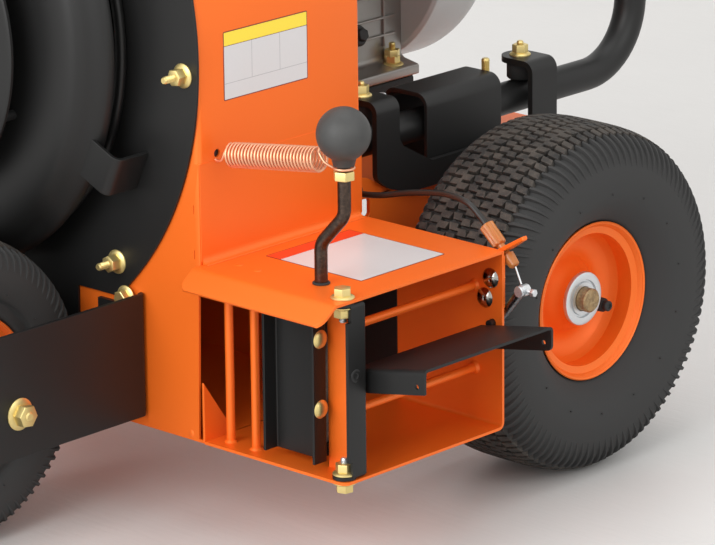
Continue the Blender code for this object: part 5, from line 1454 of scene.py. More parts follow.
class BLOWER_OT_mounts(bpy.types.Operator):
    """Builds the steel covers, the hooked brackets, their bushes and bolts on both sides"""

    bl_idname = "blower.mounts"
    bl_label = "Handle mounts"

    def execute(self, context):
        low = DECK_Z + GAP
        for side, word in ((1, "right"), (-1, "left")):
            path = [(COVER_X[0], low), (COVER_X[0], COVER_TOP), (COVER_X[1], COVER_TOP), (COVER_X[1], low)]
            path = [(side * x, z) for x, z in path]
            if side > 0:
                path.reverse()
            cover = folded(path, COVER_SHEET, "y", *COVER_Y, 0.015, 8)
            piece(f"tube_cover_{word}", cover, "black_powder_coat",
                  nodes=(f"isolator_cover_{word}",), edge=0.0008)

            (front_a, front_b, front_top), (rear_a, rear_b, rear_top) = BRACKET_UPRIGHTS
            bend = 0.022
            outline = softened([(front_a, 0.313), (front_a + 0.02, 0.3), (front_a + 0.05, BRACKET_LOW),
                                (rear_b, BRACKET_LOW), (rear_b, rear_top - bend), (rear_a, rear_top - bend),
                                (rear_a, 0.3177), (front_b + 0.05, 0.3177), (front_b + 0.006, 0.342),
                                (front_b, 0.351), (front_b, front_top - bend), (front_a, front_top - bend)],
                               (0.012, 0.02, 0.02, 0.006, 0, 0, 0.01, 0.012, 0.008, 0.006, 0, 0), 5)
            plate = prism(outline, "x", *sorted((side * BRACKET_X, side * (BRACKET_X - BRACKET_SHEET))))
            hooks = []
            nuts = []
            for (near, far, top), bolt_y in zip(BRACKET_UPRIGHTS, BRACKET_BOLTS):
                half = (far - near) / 2
                middle = (near + far) / 2
                path = [(side * BRACKET_X, top - bend - 0.004), (side * BRACKET_X, top),
                        (side * (TUBE_X - half), top)]
                if side < 0:
                    path = [path[0], path[1], path[2]][::-1]
                hook = folded(path, BRACKET_SHEET, "y", near, far, bend - 0.0004, 9)
                trim = tongue_trim((side * TUBE_X, middle), half, side, top - 0.012, top + 0.004)
                hooks.append(cut(hook, trim))
                nut = flange_nut(0.0115, 0.015, 0.0095, 0.006, near * 8)
                nuts.append(aimed(nut, (side * TUBE_X, bolt_y, top), (0, 0, 1)))
                base = TUBE_Z + TUBE_RADIUS + GAP
                high = top - BRACKET_SHEET - GAP
                bush = [(0, base), (0.0125, base), (0.0145, base + 0.002), (0.0145, high - 0.002),
                        (0.013, high), (0, high)]
                node = f"isolator_{'front' if near < 0 else 'rear'}_{word}"
                piece(f"{node}_bush", turned(bush, "z", (side * TUBE_X, bolt_y, 0), 32), "isolator_rubber",
                      nodes=(node,), crease=50)
            piece(f"hooked_bracket_{word}", cut(plate, *hooks, operation="UNION"), "black_powder_coat",
                  nodes=(f"handle_bracket_{word}",), edge=0.0008)
            piece(f"bracket_nuts_{word}", together(*nuts), "yellow_zinc", crease=30)
            for y, reach, radius, finish in ((-0.098, 0.029, 0.0042, "bright_zinc"),
                                             (0.064, 0.035, 0.0045, "yellow_zinc")):
                stud = aimed(thread(radius, 0.0, reach),
                             (side * TUBE_X, y, TUBE_Z + TUBE_RADIUS - 0.002), (0, 0, 1))
                piece(f"tube_stud_{'front' if y < 0 else 'rear'}_{word}", stud, finish, crease=30)
        return {"FINISHED"}


class BLOWER_OT_handle(bpy.types.Operator):
    """Builds the handle's bent tube, its ribbed grip, the control plate, its levers and the switch"""

    bl_idname = "blower.handle"
    bl_label = "Handle and controls"

    def execute(self, context):
        rise = HANDLE_SHOULDER_Z - TUBE_Z
        shoulder = HANDLE_BEND_Y + rise / math.tan(HANDLE_LEAN)
        corners = []
        for side in (1, -1):
            leg = [Vector((side * TUBE_X, -0.165, TUBE_Z)), Vector((side * TUBE_X, HANDLE_BEND_Y, TUBE_Z)),
                   Vector((side * TUBE_X, shoulder, HANDLE_SHOULDER_Z)),
                   Vector((side * TUBE_X, HANDLE_REAR, HANDLE_TOP_Z))]
            corners += leg if side > 0 else list(reversed(leg))
        piece("handle_tube", swept(bent(corners, HANDLE_BEND_RADIUS, 14), TUBE_RADIUS, 36),
              "black_powder_coat", nodes=("handle_frame",), crease=50)
        bore = TUBE_RADIUS + 0.0006
        ribbed = GRIP_HALF - 0.004
        profile = [(bore, -GRIP_HALF), (GRIP_RADIUS - 0.0007, -GRIP_HALF), (GRIP_RADIUS, 0.002 - GRIP_HALF)]
        ribs = 58
        step = 2 * ribbed / ribs
        for rib in range(ribs):
            start = rib * step - ribbed
            profile += [(GRIP_RADIUS, start), (GRIP_RADIUS, start + 0.6 * step),
                        (GRIP_RADIUS - 0.0011, start + 0.7 * step),
                        (GRIP_RADIUS - 0.0011, start + 0.92 * step)]
        profile += [(GRIP_RADIUS, GRIP_HALF - 0.002), (GRIP_RADIUS - 0.0007, GRIP_HALF), (bore, GRIP_HALF)]
        piece("ribbed_grip", turned(profile, "x", (0, HANDLE_REAR, HANDLE_TOP_Z), 40), "isolator_rubber",
              nodes=("handle_grip",), crease=35)

        slope = 1 / math.tan(HANDLE_LEAN)
        keep("control_plate", "black_powder_coat")
        for word, body, half, length, knob in (("throttle", "throttle", 0.0035, 0.055, 0.009),
                                               ("trajectory", "trajectory_control", 0.0045, 0.085, 0.014)):
            x = LEVER_X[word]
            node = f"{word}_lever"
            y = HANDLE_BEND_Y + (LEVER_Z - TUBE_Z) * slope - 0.016
            hub = rod(0.01, x - half, x + half, "x", (0, y, LEVER_Z), 32)
            blade = prism(softened([(y, LEVER_Z - 0.0035), (y + length, LEVER_Z - 0.003),
                                    (y + length, LEVER_Z + 0.003),
                                    (y, LEVER_Z + 0.0035)], 0.001, 2), "x", x - half * 0.7, x + half * 0.7)
            piece(f"{node}_blade", together(hub, blade), "bright_zinc", body, (node,), edge=0.0006)
            grip = [(0, 0), (knob * 0.62, 0), (knob * 0.86, 0.003), (knob, 0.012), (knob * 0.96, 0.022),
                    (knob * 0.7, 0.03), (knob * 0.35, 0.0318), (0, 0.032)]
            piece(f"{node}_knob",
                  aimed(turned(grip, "z", steps=40), (x, y + length - 0.01, LEVER_Z), (0, 1, 0)),
                  "black_plastic", body, crease=50)
        z = SWITCH_Z
        y = HANDLE_BEND_Y + (z - TUBE_Z) * slope
        barrel = turned([(0, y - 0.022), (0.0088, y - 0.022), (0.0088, y + 0.0068), (0.0155, y + 0.007),
                         (0.016, y + 0.008), (0.0152, y + 0.012), (0, y + 0.0124)], "y", (SWITCH_X, 0, z), 48)
        left, right = SWITCH_X - 0.002, SWITCH_X + 0.002
        grip = prism(softened([(left, z - 0.013), (right, z - 0.013), (right, z + 0.013), (left, z + 0.013)],
                              0.0018, 3), "y", y + 0.01, y + 0.026)
        piece("ignition_knob", together(barrel, grip), "black_plastic", "ignition",
              ("ignition_switch",), edge=0.0006)
        ends = [rod(TUBE_RADIUS - 0.0002, -0.002, 0.0, "y", (side * TUBE_X, -0.165, TUBE_Z), 36)
                for side in (1, -1)]
        piece("tube_end_caps", together(*ends), "black_plastic", edge=0.0006)
        return {"FINISHED"}


# Engine

class BLOWER_OT_engine(bpy.types.Operator):
    """Builds the crankcase with its ribs and feet, the finned cylinder, the shroud and the starter"""

    bl_idname = "blower.engine"
    bl_label = "Engine"

    def execute(self, context):
        centre = (0, 0, FAN_Z)
        outline = softened([(-FOOT_HALF, ENGINE_BASE), (FOOT_HALF, ENGINE_BASE),
                            (FOOT_HALF, ENGINE_BASE + 0.011), (0.098, ENGINE_BASE + 0.016), (0.098, 0.56),
                            (0.06, CASE_TOP), (-0.06, CASE_TOP), (-0.098, 0.57),
                            (-0.098, ENGINE_BASE + 0.016), (-FOOT_HALF, ENGINE_BASE + 0.011)],
                           (0.002, 0.002, 0.003, 0.008, 0.02, 0.012, 0.012, 0.02, 0.008, 0.003), 5)
        case = prism(outline, "y", *CASE_Y)
        ribs = []
        for side in (-1, 1):
            near, far = side * CASE_HALF - 0.0025, side * CASE_HALF + 0.0025
            for z in (0.385, 0.405, 0.43, 0.47, 0.51):
                ribs.append(block((near, CASE_Y[0] + 0.012, z - 0.0015),
                                  (far, CASE_Y[1] - 0.012, z + 0.0015)))
            for y in (-0.075, -0.01, 0.05, 0.105):
                ribs.append(block((near, y - 0.0015, 0.372), (far, y + 0.0015, 0.54)))
        for angle in range(0, 360, 45):
            spin = Matrix.Translation(centre) @ Matrix.Rotation(math.radians(angle + 12), 4, "Y")
            rib = block((0.028, CASE_Y[0] - 0.022, -0.0018), (0.066, CASE_Y[0] + 0.002, 0.0018))
            ribs.append(moved(rib, spin))
        boss = turned([(0.014, CASE_Y[0] - 0.03), (0.026, CASE_Y[0] - 0.03), (0.028, CASE_Y[0] - 0.028),
                       (0.03, CASE_Y[0] - 0.012), (0.066, CASE_Y[0] - 0.008), (0.07, CASE_Y[0] - 0.004),
                       (0.07, CASE_Y[0] + 0.002), (0.014, CASE_Y[0] + 0.002)], "y", centre, 48)
        piece("crankcase_cast", together(case, boss, *ribs), "cast_aluminium",
              nodes=("crankcase",), edge=0.0012)
        bolts = []
        for x in (-0.108, 0.108):
            for y in (-0.053, 0.109):
                nut = together(flange_nut(0.0125, 0.0155, 0.0085, 0.0165, y * 5),
                               hexagon(0.015, 0.0085, 0.009, 0.9 + y))
                bolts.append(aimed(nut, (x, y, ENGINE_BASE + 0.0125), (0, 0, 1)))
        for step in range(8):
            angle = math.radians(45 * step + 30)
            bolts.append(aimed(flange_bolt(0.007, 0.0095, 0.0055, step),
                               (0.06 * math.cos(angle), CASE_Y[0] - 0.008, FAN_Z + 0.06 * math.sin(angle)),
                               (0, -1, 0)))
        piece("engine_bolts", together(*bolts), "yellow_zinc", crease=30)
        plug = aimed(together(turned([(0, 0), (0.012, 0), (0.012, 0.006), (0.01, 0.009), (0, 0.009)],
                                     "z", steps=32),
                              hexagon(0.013, 0.007, 0.008)), (CASE_HALF, 0.06, 0.392), (1, 0, 0.3))
        piece("oil_plug", plug, "black_plastic", edge=0.0004)

        turn = Matrix.Translation(centre) @ Matrix.Rotation(-CYLINDER_TILT, 4, "Y")
        core = block((0.1, -0.05, -0.05), (0.232, 0.056, 0.052))
        fins = []
        for step in range(15):
            x = 0.119 + FIN_PITCH * step
            outline = softened([(-0.06, -0.062), (0.066, -0.062), (0.066, 0.062), (-0.06, 0.062)], 0.014, 4)
            fins.append(prism(outline, "x", x, x + 0.0028))
        cover = prism(softened([(-0.044, -0.046), (0.05, -0.046), (0.05, 0.046), (-0.044, 0.046)], 0.016, 5),
                      "x", 0.234, 0.262)
        screws = []
        for y in (-0.034, 0.04):
            for z in (-0.036, 0.036):
                screws.append(aimed(flange_bolt(0.0058, 0.008, 0.0045), (0.26, y, z), (1, 0, 0)))
        shape = together(core, *fins, cover, *screws)
        piece("cylinder_finned", moved(shape, turn), "cast_aluminium", nodes=("cylinder",), edge=0.0007)
        lead = [Vector((0.261, 0.02, 0.0)), Vector((0.27, 0.03, 0.004)), Vector((0.266, 0.06, 0.018)),
                Vector((0.24, 0.085, 0.04)), Vector((0.21, 0.108, 0.055)), Vector((0.19, 0.132, 0.058))]
        lead = smooth([turn @ point for point in lead], 6)
        boot = swept(smooth([turn @ Vector((0.252, 0.008, -0.01)), turn @ Vector((0.26, 0.014, -0.004)),
                             turn @ Vector((0.261, 0.022, 0.001))], 4), 0.0072, 20)
        piece("spark_lead", together(swept(lead, 0.0035, 12), boot), "isolator_rubber", crease=50)

        shroud = [(0, SHROUD_Y[0]), (SHROUD_RADIUS - 0.004, SHROUD_Y[0]),
                  (SHROUD_RADIUS, SHROUD_Y[0] + 0.004)]
        shroud += [(SHROUD_RADIUS - 0.03 + 0.03 * math.cos(a), SHROUD_Y[1] - 0.03 + 0.03 * math.sin(a))
                   for a in [math.radians(10 * step) for step in range(10)]]
        shroud += [(0.12, SHROUD_Y[1]), (0, SHROUD_Y[1])]
        duct = prism(softened([(0.04, -0.062), (0.245, -0.062), (0.245, 0.062), (0.04, 0.062)],
                              (0.0, 0.022, 0.022, 0.0), 6), "y", SHROUD_Y[0], SHROUD_Y[0] + 0.04)
        piece("shroud_shell", together(turned(shroud, "y", centre, 96), moved(duct, turn)), "grey_shroud",
              nodes=("fan_shroud",), edge=0.0015, crease=40)

        start = SHROUD_Y[1] + 0.0003
        starter = turned([(0, start), (0.11, start), (0.112, start + 0.002), (0.112, start + 0.01),
                          (0.104, start + 0.018), (0.088, start + 0.03), (0.078, start + 0.034),
                          (0.03, start + 0.036), (0.026, start + 0.04), (0, start + 0.04)], "y", centre, 96)
        slots = []
        for ring, (radius, count, wide) in enumerate(((0.066, 18, 0.0052), (0.048, 13, 0.005))):
            for step in range(count):
                angle = 2 * math.pi * (step + 0.5 * ring) / count
                x = radius * math.cos(angle)
                z = radius * math.sin(angle)
                slot = prism(softened([(x - wide, FAN_Z + z - wide), (x + wide, FAN_Z + z - wide),
                                       (x + wide, FAN_Z + z + wide), (x - wide, FAN_Z + z + wide)],
                                      wide * 0.9, 3), "y", start + 0.028, start + 0.05)
                slots.append(slot)
        piece("recoil_cover", starter, "black_plastic", nodes=("recoil_starter",),
              cuts=[together(*slots)], edge=0.0006)
        grip = prism(softened([(0.12, FAN_Z + 0.046), (0.134, FAN_Z + 0.046), (0.134, FAN_Z + 0.082),
                               (0.12, FAN_Z + 0.082)], 0.006, 5), "y", start + 0.01, start + 0.026)
        neck = rod(0.0035, 0.108, 0.124, "x", (0, start + 0.018, FAN_Z + 0.06), 16)
        piece("pull_grip_moulded", together(grip, neck), "black_plastic", "pull_grip",
              ("starter_grip",), edge=0.002)
        return {"FINISHED"}


class BLOWER_OT_engine_top(bpy.types.Operator):
    """Builds the fuel tank, its cap, the air cleaner and the muffler with its guard"""

    bl_idname = "blower.engine_top"
    bl_label = "Tank, cleaner and muffler"

    def execute(self, context):
        low, high = TANK_LOW, TANK_TOP
        outline = softened([(-0.205, low), (0.108, low), (0.128, low + 0.022), (0.128, high - 0.024),
                            (0.108, high), (-0.185, high), (-0.205, high - 0.02)],
                           (0.016, 0.012, 0.014, 0.014, 0.014, 0.014, 0.014), 5)
        tank = prism(outline, "y", -0.09, 0.2)
        seam_low, seam_high = TANK_SEAM_Z
        seam = prism(softened([(-0.2056, seam_low), (0.1286, seam_low), (0.1286, seam_high),
                               (-0.2056, seam_high)], 0.001, 2), "y", -0.0912, 0.2012)
        feet = [block((x - 0.015, -0.05, CASE_TOP + 0.0003), (x + 0.015, 0.11, low + 0.004))
                for x in (-0.07, 0.05)]
        item = piece("fuel_tank_moulded", together(tank, seam, *feet), "black_plastic", nodes=("fuel_tank",),
                     edge=0.006, segments=4)
        item.modifiers["edges"].width = 0.0045
        neck = turned([(0.02, 0.774), (0.03, 0.774), (0.028, 0.78), (0.026, 0.784), (0.02, 0.784)], "z",
                      (*CAP_PLACE, 0), 48)
        piece("filler_neck", neck, "black_plastic", crease=40)
        rings = []
        for z, radius, depth in ((0.7843, 0.0335, 0), (0.7858, 0.0352, 0.5), (0.788, 0.036, 1),
                                 (0.801, 0.0358, 1), (0.8035, 0.0345, 0.4),
                                 (0.8055, 0.031, 0), (0.806, 0.015, 0)):
            ring = []
            for side in range(120):
                angle = 2 * math.pi * side / 120
                grip = radius - 0.0012 * depth * (0.5 + 0.5 * math.cos(angle * 30))
                ring.append((CAP_PLACE[0] + grip * math.cos(angle), CAP_PLACE[1] + grip * math.sin(angle), z))
            rings.append(ring)
        piece("fuel_cap_ribbed", lofted(rings), "black_plastic", "filler_cap", ("fuel_cap",), crease=40)

        turn = Matrix.Translation((0, 0, FAN_Z)) @ Matrix.Rotation(-CYLINDER_TILT, 4, "Y")
        saddles = [moved(block((0.1, -0.08, -0.07), (0.275, 0.09, 0.0665)), turn) for shape in range(2)]
        cleaner = prism(softened([(0.142, 0.02), (0.262, 0.02), (0.262, 0.13), (0.142, 0.13)], 0.018, 6), "z",
                        0.64, 0.76)
        pipe = rod(0.022, 0.618, 0.642, "z", (0.17, 0.045, 0), 32)
        parts = [cut(shape, saddle) for shape, saddle in zip((cleaner, pipe), saddles)]
        piece("air_cleaner_box", together(*parts), "black_plastic",
              nodes=("air_cleaner",), edge=0.004, segments=4)
        ribs = [block((0.15 + 0.0125 * step, 0.03, 0.759), (0.1535 + 0.0125 * step, 0.12, 0.7603))
                for step in range(9)]
        piece("air_cleaner_ribs", together(*ribs), "black_plastic", edge=0.0005)
        saddle = moved(block((0.1, -0.18, -0.07), (0.265, 0.07, 0.0665)), turn)
        can = prism(softened([(0.144, 0.642), (0.256, 0.642), (0.256, 0.738), (0.144, 0.738)], 0.022, 6), "y",
                    -0.158, 0.006)
        pipe = rod(0.016, 0.618, 0.648, "z", (0.17, -0.03, 0), 24)
        tail = turned([(0.0115, 0.25), (0.014, 0.25), (0.014, 0.2895), (0.0115, 0.29)],
                      "x", (0, -0.13, 0.7), 32)
        piece("muffler_can", together(can, pipe, tail), "bright_zinc", nodes=("muffler",), cuts=[saddle],
              edge=0.0025, segments=3)
        louvres = []
        for step in range(7):
            z = 0.664 + 0.0095 * step
            louvres.append(block((0.2552, -0.11, z), (0.2576, -0.01, z + 0.0048)))
        piece("muffler_louvres", together(*louvres), "bright_zinc", edge=0.0008)
        return {"FINISHED"}


# Wheels

class BlowerTyres(bpy.types.PropertyGroup):
    """The tread of the tyres."""

    blocks: IntProperty(name="Blocks", description="Tread blocks in one round", default=100, min=20, max=200)
    depth: FloatProperty(name="Depth", description="Depth of the tread's grooves", default=0.0058,
                         unit="LENGTH", min=0.001, max=0.01)
    gap: FloatProperty(name="Groove", description="Width of the tread's grooves", default=0.0036,
                       unit="LENGTH", min=0.0005, max=0.006)


def tyre_line(radius, half, flange, depth):
    """The right half of a tyre's outer line, as (distance from the middle, radius), from crown to bead."""
    tall = radius - RIM_RADIUS
    base = 1 - (depth + 0.0004) / tall
    points = [(0, base), (0.26, base - 0.002), (0.52, base - 0.014), (0.72, base - 0.046),
              (0.8, base - 0.068), (0.88, 0.82), (0.945, 0.74), (0.985, 0.625), (1.0, 0.49),
              (0.985, 0.37), (0.945, 0.26)]
    line = [Vector((share * half, RIM_RADIUS + tall * level)) for share, level in points]
    line += [Vector((0.86 * half, RIM_RADIUS + 0.015)), Vector((flange + 0.001, RIM_RADIUS + 0.0045)),
             Vector((flange - 0.006, RIM_RADIUS - 0.001)), Vector((flange - 0.0105, RIM_RADIUS - 0.01))]
    return line


def tread_blocks(centre, radius, half, count, settings):
    """Rows of stepped blocks round a tyre's crown, each row set off against the next."""
    crown = radius - 0.0004
    fall = 0.0062 / (0.788 * half) ** 4

    def surface(across, around, sunk):
        level = crown - fall * across ** 4 - sunk
        return Vector((centre[0] + across, centre[1] - level * math.cos(around),
                       centre[2] + level * math.sin(around)))

    share = half / 0.073
    pitch = 2 * math.pi / count
    high = pitch * crown - settings.gap
    step = 0.4 * pitch * crown
    mesh = bmesh.new()
    columns = [(-0.0485 * share, 0.013 * share, 0.0), (-0.0275 * share, 0.025 * share, 1.0),
               (0.0, 0.025 * share, 1.0), (0.0275 * share, 0.025 * share, 1.0),
               (0.0485 * share, 0.013 * share, 0.0)]
    for column, (middle, wide, stepped) in enumerate(columns):
        lift = step / 2 * stepped
        slant = 0.0014 * share * (-1 if column % 2 else 1)
        left, right = -wide / 2, wide / 2
        flat = [(left + slant, lift - high / 2), (slant, lift - high / 2), (slant, -lift - high / 2),
                (right + slant, -lift - high / 2), (right - slant, high / 2 - lift),
                (-slant, high / 2 - lift), (-slant, high / 2 + lift), (left - slant, high / 2 + lift)]
        if not stepped:
            flat = [flat[0], flat[3], flat[4], flat[7]]
        for index in range(count):
            start = (index - 0.33 * column) * pitch
            lower = []
            upper = []
            for across, around in flat:
                angle = start + around / crown
                lower.append(mesh.verts.new(surface(middle + across, angle, settings.depth + 0.0006)))
                upper.append(mesh.verts.new(surface(middle + across * 0.985, angle, 0.0)))
            mesh.faces.new(upper)
            for side in range(len(flat)):
                after = (side + 1) % len(flat)
                mesh.faces.new((lower[side], lower[after], upper[after], upper[side]))
    bmesh.ops.recalc_face_normals(mesh, faces=mesh.faces)
    return mesh


def shoulder_ribs(centre, line, count):
    """Curved ribs that run from the tread's edge down each side wall."""
    mesh = bmesh.new()
    pitch = 2 * math.pi / count
    shoulder = smooth(line, 3)
    last = len(shoulder) - 1
    for side in (-1, 1):
        for index in range(count):
            rows = []
            for station, point in enumerate(shoulder):
                t = station / last
                along = (shoulder[min(station + 1, last)] - shoulder[max(station - 1, 0)]).normalized()
                normal = Vector((-along.y, along.x))
                if normal.x < 0:
                    normal = -normal
                height = 0.0046 * (1 - t) ** 0.6 + 0.0002
                wide = (0.34 - 0.12 * t) * pitch
                lean = (index + 0.3 + 0.9 * t ** 1.5 * side) * pitch
                row = []
                for turn, rise in ((-wide, -0.0008), (-wide * 0.62, height),
                                   (wide * 0.3, height * 0.94), (wide, -0.0008)):
                    spot = point + normal * rise
                    angle = lean + turn
                    row.append(mesh.verts.new((centre[0] + side * spot.x,
                                               centre[1] - spot.y * math.cos(angle),
                                               centre[2] + spot.y * math.sin(angle))))
                rows.append(row)
            for row, following in zip(rows, rows[1:]):
                for strip in range(3):
                    mesh.faces.new((row[strip], row[strip + 1], following[strip + 1], following[strip]))
            mesh.faces.new(rows[0])
            mesh.faces.new(rows[-1])
    bmesh.ops.recalc_face_normals(mesh, faces=mesh.faces)
    return mesh


def tyre(context, name, centre, radius, half, flange, count, body, node):
    """A pneumatic tyre: smooth carcass, stepped tread blocks, curved shoulder ribs and vent nubs."""
    settings = context.scene.blower_tyres
    line = tyre_line(radius, half, flange, settings.depth)
    right = [(point.y, point.x) for point in smooth(line, 5)]
    profile = [(r, -x) for r, x in reversed(right)] + right[1:]
    nubs = []
    for side in (-1, 1):
        for step in range(14):
            angle = 2 * math.pi * (step + 0.35) / 14
            r = RIM_RADIUS + 0.33 * (radius - RIM_RADIUS)
            spot = (centre[0] + side * (0.972 * half - 0.001), centre[1] + r * math.cos(angle),
                    centre[2] + r * math.sin(angle))
            nubs.append(aimed(rod(0.0008, 0.0, 0.0032, "z", (0, 0, 0), 8), spot, (side, 0, 0)))
    piece(f"{name}_carcass", together(turned(profile, "x", centre, 180), *nubs), "tyre_rubber",
          body, (node,), crease=50)
    piece(f"{name}_tread", tread_blocks(centre, radius, half, count, settings), "tread_rubber", body,
          edge=0.0005, segments=1, crease=45)
    piece(f"{name}_shoulder_ribs", shoulder_ribs(centre, line[3:8], count), "tyre_rubber", body, crease=40)


def rim(name, centre, half, hub, bore, side, body, node):
    """A glossy pressed rim with a rolled flange, a deep smooth bowl and bearings in its hub."""
    flange = RIM_RADIUS
    outer = [(flange - 0.003, half - 0.0014), (flange - 0.0012, half - 0.0001), (flange, half - 0.001),
             (flange - 0.0004, half - 0.0032), (flange - 0.006, half - 0.0062),
             (flange - 0.0135, half - 0.0085)]
    barrel = outer + [(flange - 0.014, 0.0)] + [(r, -x) for r, x in reversed(outer)]
    bowl = [(flange - 0.0028, half - 0.0016), (flange - 0.0056, half - 0.007),
            (flange - 0.0088, half - 0.017), (flange - 0.014, half - 0.029), (flange - 0.0225, half - 0.0385),
            (flange - 0.033, half - 0.0425), (flange - 0.0425, half - 0.0395), (flange - 0.049, half - 0.031),
            (flange - 0.0535, hub - 0.011), (flange - 0.0556, hub - 0.0045)]
    bowl = [(point.x, point.y) for point in smooth(bowl, 4)]
    near = [(r, side * x) for r, x in bowl]
    tube = [(0.0262, side * (hub - 0.004)), (0.0262, side * (0.004 - hub)), (0.024, side * (0.004 - hub)),
            (0.024, side * (hub - 0.004))]
    back = [(r - 0.0022, x - side * 0.0026) for r, x in reversed(near)]
    far = [(flange - 0.0052, -side * (half - 0.003)), (flange - 0.0135, -side * (half - 0.02)),
           (flange - 0.015, -side * 0.004), (flange - 0.017, -side * 0.004),
           (flange - 0.0165, -side * (half - 0.021)), (flange - 0.0082, -side * (half - 0.004))]
    shape = together(turned(barrel, "x", centre, 128), turned(near + back, "x", centre, 128),
                     turned(tube, "x", centre, 64), turned(far, "x", centre, 128))
    piece(name, shape, "orange_powder_coat", body, (node,), crease=50)
    race = []
    for way in (1, -1):
        cup = [(bore + 0.0006, way * (hub - 0.001)), (0.0175, way * (hub - 0.001)),
               (0.0182, way * (hub - 0.003)), (0.0196, way * (hub - 0.003)), (0.0204, way * (hub - 0.0008)),
               (0.0262, way * (hub - 0.0002)), (0.028, way * (hub - 0.001)), (0.0288, way * (hub - 0.003)),
               (0.0286, way * (hub - 0.005)), (0.024, way * (hub - 0.0056)), (0.022, way * (hub - 0.014)),
               (bore + 0.0006, way * (hub - 0.014))]
        race.append(turned(cup, "x", centre, 80))
    piece(f"{name}_bearings", together(*race), "bright_zinc", body, crease=40)


class BLOWER_OT_rear_wheels(bpy.types.Operator):
    """Builds both rear wheels with tread, rims, bearings and valves, and their axle"""

    bl_idname = "blower.rear_wheels"
    bl_label = "Rear wheels"

    def execute(self, context):
        for side, word in ((1, "right"), (-1, "left")):
            centre = Vector((side * WHEEL_X, 0, WHEEL_RADIUS))
            body = f"rear_wheel_{word}"
            tyre(context, f"rear_tyre_{word}", centre, WHEEL_RADIUS, WHEEL_HALF, RIM_HALF,
                 context.scene.blower_tyres.blocks, body, f"rear_tyre_{word}")
            rim(f"rear_rim_{word}_pressed", centre, RIM_HALF, HUB_HALF, AXLE_RADIUS, side,
                body, f"rear_rim_{word}")
            foot = centre + Vector((side * 0.01, 0.04, -0.018))
            stem = turned([(0, 0), (0.0095, 0), (0.0095, 0.006), (0.008, 0.0085), (0.0074, 0.024),
                           (0.0062, 0.0262), (0, 0.0262)], "z", steps=32)
            tip = turned([(0, 0.0258), (0.005, 0.0258), (0.0056, 0.0268), (0.0056, 0.0312), (0.0046, 0.0322),
                          (0.003, 0.0322), (0.0026, 0.0308), (0, 0.0308)], "z", steps=32)
            way = Vector((side, -0.06, 0.04))
            piece(f"valve_stem_{word}", aimed(stem, foot, way), "isolator_rubber", body, crease=40)
            piece(f"valve_cap_{word}", aimed(tip, foot, way), "black_plastic", body, crease=40)
        collars = ((DECK_HALF - 0.016, DECK_HALF - 0.006), (DECK_HALF + 0.001, WHEEL_X - HUB_HALF - 0.001))
        half = []
        for start, end in collars:
            half += [(AXLE_RADIUS, start), (COLLAR_RADIUS, start), (COLLAR_RADIUS, end), (AXLE_RADIUS, end)]
        half += [(AXLE_RADIUS, AXLE_END - 0.0016), (AXLE_RADIUS - 0.0016, AXLE_END), (0, AXLE_END)]
        axle = [(radius, -along) for radius, along in reversed(half)] + half
        piece("rear_axle_turned", turned(axle, "x", (0, 0, WHEEL_RADIUS), 56), "bare_axle",
              nodes=("rear_axle",), crease=30)
        return {"FINISHED"}


